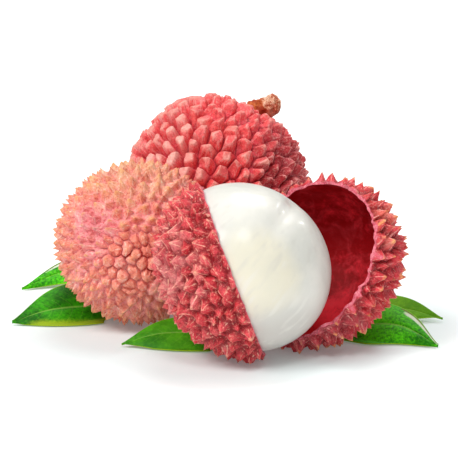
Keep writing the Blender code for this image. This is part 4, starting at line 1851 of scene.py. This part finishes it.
def fruits() -> tuple[WholeFruit, ...]:
    """Lists the two whole fruits."""
    return (
        WholeFruit("fruit_left", "peel_coral", LEFT,
                   Spines(SPIKES_LEFT, sink=1.05, taller=-0.3, sway=0.5,
                          mounds=Mounds(Patch((0.02, -0.99, -0.11), 0.72))), CORAL,
                   Shading(warm=(Patch((-0.1, -0.2, 1.0), 1.0, 0.8),),
                           pale=(Patch((-0.6, -0.75, 0.25), 0.7, 0.6),
                                 Patch((-0.55, -0.68, 0.48), 0.45, 0.7),
                                 Patch((0.1, -0.95, -0.2), 0.5, 0.35))), (OPENED_SKIN, BACK)),
        WholeFruit("fruit_back", "peel_rose", BACK, Pegs(), ROSE,
                   # Painted light on the upper left, where the lamps fall, and painted shade,
                   # duller, on the right.
                   Shading(warm=(Patch((-0.2, -0.6, 0.8), 0.7, 0.4),),
                           pale=(Patch((-0.6, -0.7, 0.5), 0.9, 0.6),),
                           dull=(Patch((0.9, -0.4, 0.2), 1.0, 0.9),)), (LEFT,)),
    )


def peels() -> tuple[PeelHalf, ...]:
    """Lists the two parts of the opened fruit's peel."""
    return (
        PeelHalf("peel_left", OPENED,
                 Spines(SPIKES_OPENED, steps=14, sink=0.55, taller=0.25, power=1.25,
                        rib_height=0.12, rib_width=0.05, crumple=0.085, star_share=0.5),
                 (LEFT_CUT,), CRIMSON,
                 Shading(pale=(Patch((-1.0, -0.5, 0.0), 0.8, 0.7),),
                         dull=(Patch((-1.0, -0.6, 0.1), 0.6, 0.6),)),
                 (LEFT,), squeeze=0.065, lining_lift=0.05),
        PeelHalf("peel_right", LOBE.grown(-LOBE_INSET),
                 Spines(SPIKES_LOBE, steps=14, sink=0.2, taller=0.8, power=1.5, rib_height=0.2),
                 (LOBE_CUT, LOBE_EDGE), CRIMSON_WARM,
                 Shading(warm=(Patch((0.8, -0.3, 0.8), 0.8, 0.4),),
                         # Painted shade: duller towards the bottom.
                         dull=(Patch((0.2, -0.7, -0.7), 0.8, 0.6),)),
                 # Painted light at the shaded bottom of the cup.
                 light=(Patch((0.3, 0.15, -0.94), 0.95, 1.0),)),
    )


def leaves() -> tuple[Leaf, ...]:
    """Lists the five leaflets."""
    return (
        Leaf("leaf_left_rear", ((-13.0, 55.0, 0.6), (-24.0, 56.3, 3.0), (-34.5, 54.8, 2.6),
                                (-43.7, 49.0, 0.6)), 5.2, (-25, -20), (45, 40), 0.4, 0.3,
             BRIGHT_LEAF, OLIVE_UNDER,
             (Streak(StreakKind.GLOSS, 0.35, 0.9, 0.7, 0.13),
              Streak(StreakKind.LINE, 0.35, 0.95, 0.88, 0.04))),
        Leaf("leaf_left_front", ((-20.5, 33.5, 0.5), (-28.5, 29.5, 2.0), (-37.0, 25.2, 2.4),
                                 (-44.4, 22.4, 0.7)), 7.0, (-26, -24), (46, 40), 0.4, 1.1,
             DARK_LEAF, OLIVE_UNDER, (Streak(StreakKind.FOLD, 0.0, 0.95, -1.0, 0.42),)),
        Leaf("leaf_front", ((2.0, 7.8, 0.5), (-6.0, 7.3, 2.4), (-15.0, 7.0, 2.6),
                            (-22.6, 6.4, 0.6)), 5.4, (-35, -30), (32, 35), 0.3, 2.0,
             MILD_LEAF, OLIVE_UNDER),
        Leaf("leaf_right_front", ((17.5, 14.0, 0.5), (25.0, 14.0, 2.4), (31.5, 11.4, 2.8),
                                  (38.2, 5.6, 0.6)), 6.8, (-28, -25), (38, 32), 0.5, 0.8,
             BRIGHT_LEAF, OLIVE_UNDER,
             (Streak(StreakKind.GLOSS, 0.55, 1.12, 0.74, 0.14),
              Streak(StreakKind.LINE, 0.5, 1.1, 0.89, 0.04))),
        Leaf("leaf_right_rear", ((15.5, 17.5, 0.5), (23.5, 23.0, 2.0), (32.0, 26.6, 2.2),
                                 (40.0, 25.0, 0.7)), 5.0, (-22, -20), (42, 35), 0.4, 2.6,
             OLIVE_UNDER, OLIVE_UNDER),
    )


def main() -> None:
    """Builds the bunch, piece by piece, and its studio."""
    Studio().build()
    for fruit in fruits():
        fruit.build()
    stem_end = BACK.surface(UPWARDS[None], PLATES_BACK.tallest + PLATE_DOME + CLEARANCE)[0]
    Stalk(stem_end).build()
    for peel in peels():
        peel.build()
    Flesh(OPENED, LEFT_CUT, cream=(Patch((0.1, -0.9, 0.15), 0.9, 0.8),),
          # The flesh is painted greyer towards the bottom, as shade.
          grey=(Patch((0.35, -0.4, -0.85), 1.1, 0.9),)).build()
    for leaf in leaves():
        leaf.build(((LEFT, SPIKES_LEFT), (OPENED_SKIN, SPIKES_OPENED), (BACK, PLATES_BACK),
                    (LOBE_SKIN, SPIKES_LOBE)))


if __name__ == "__main__":
    logging.basicConfig(level=logging.INFO)
    main()
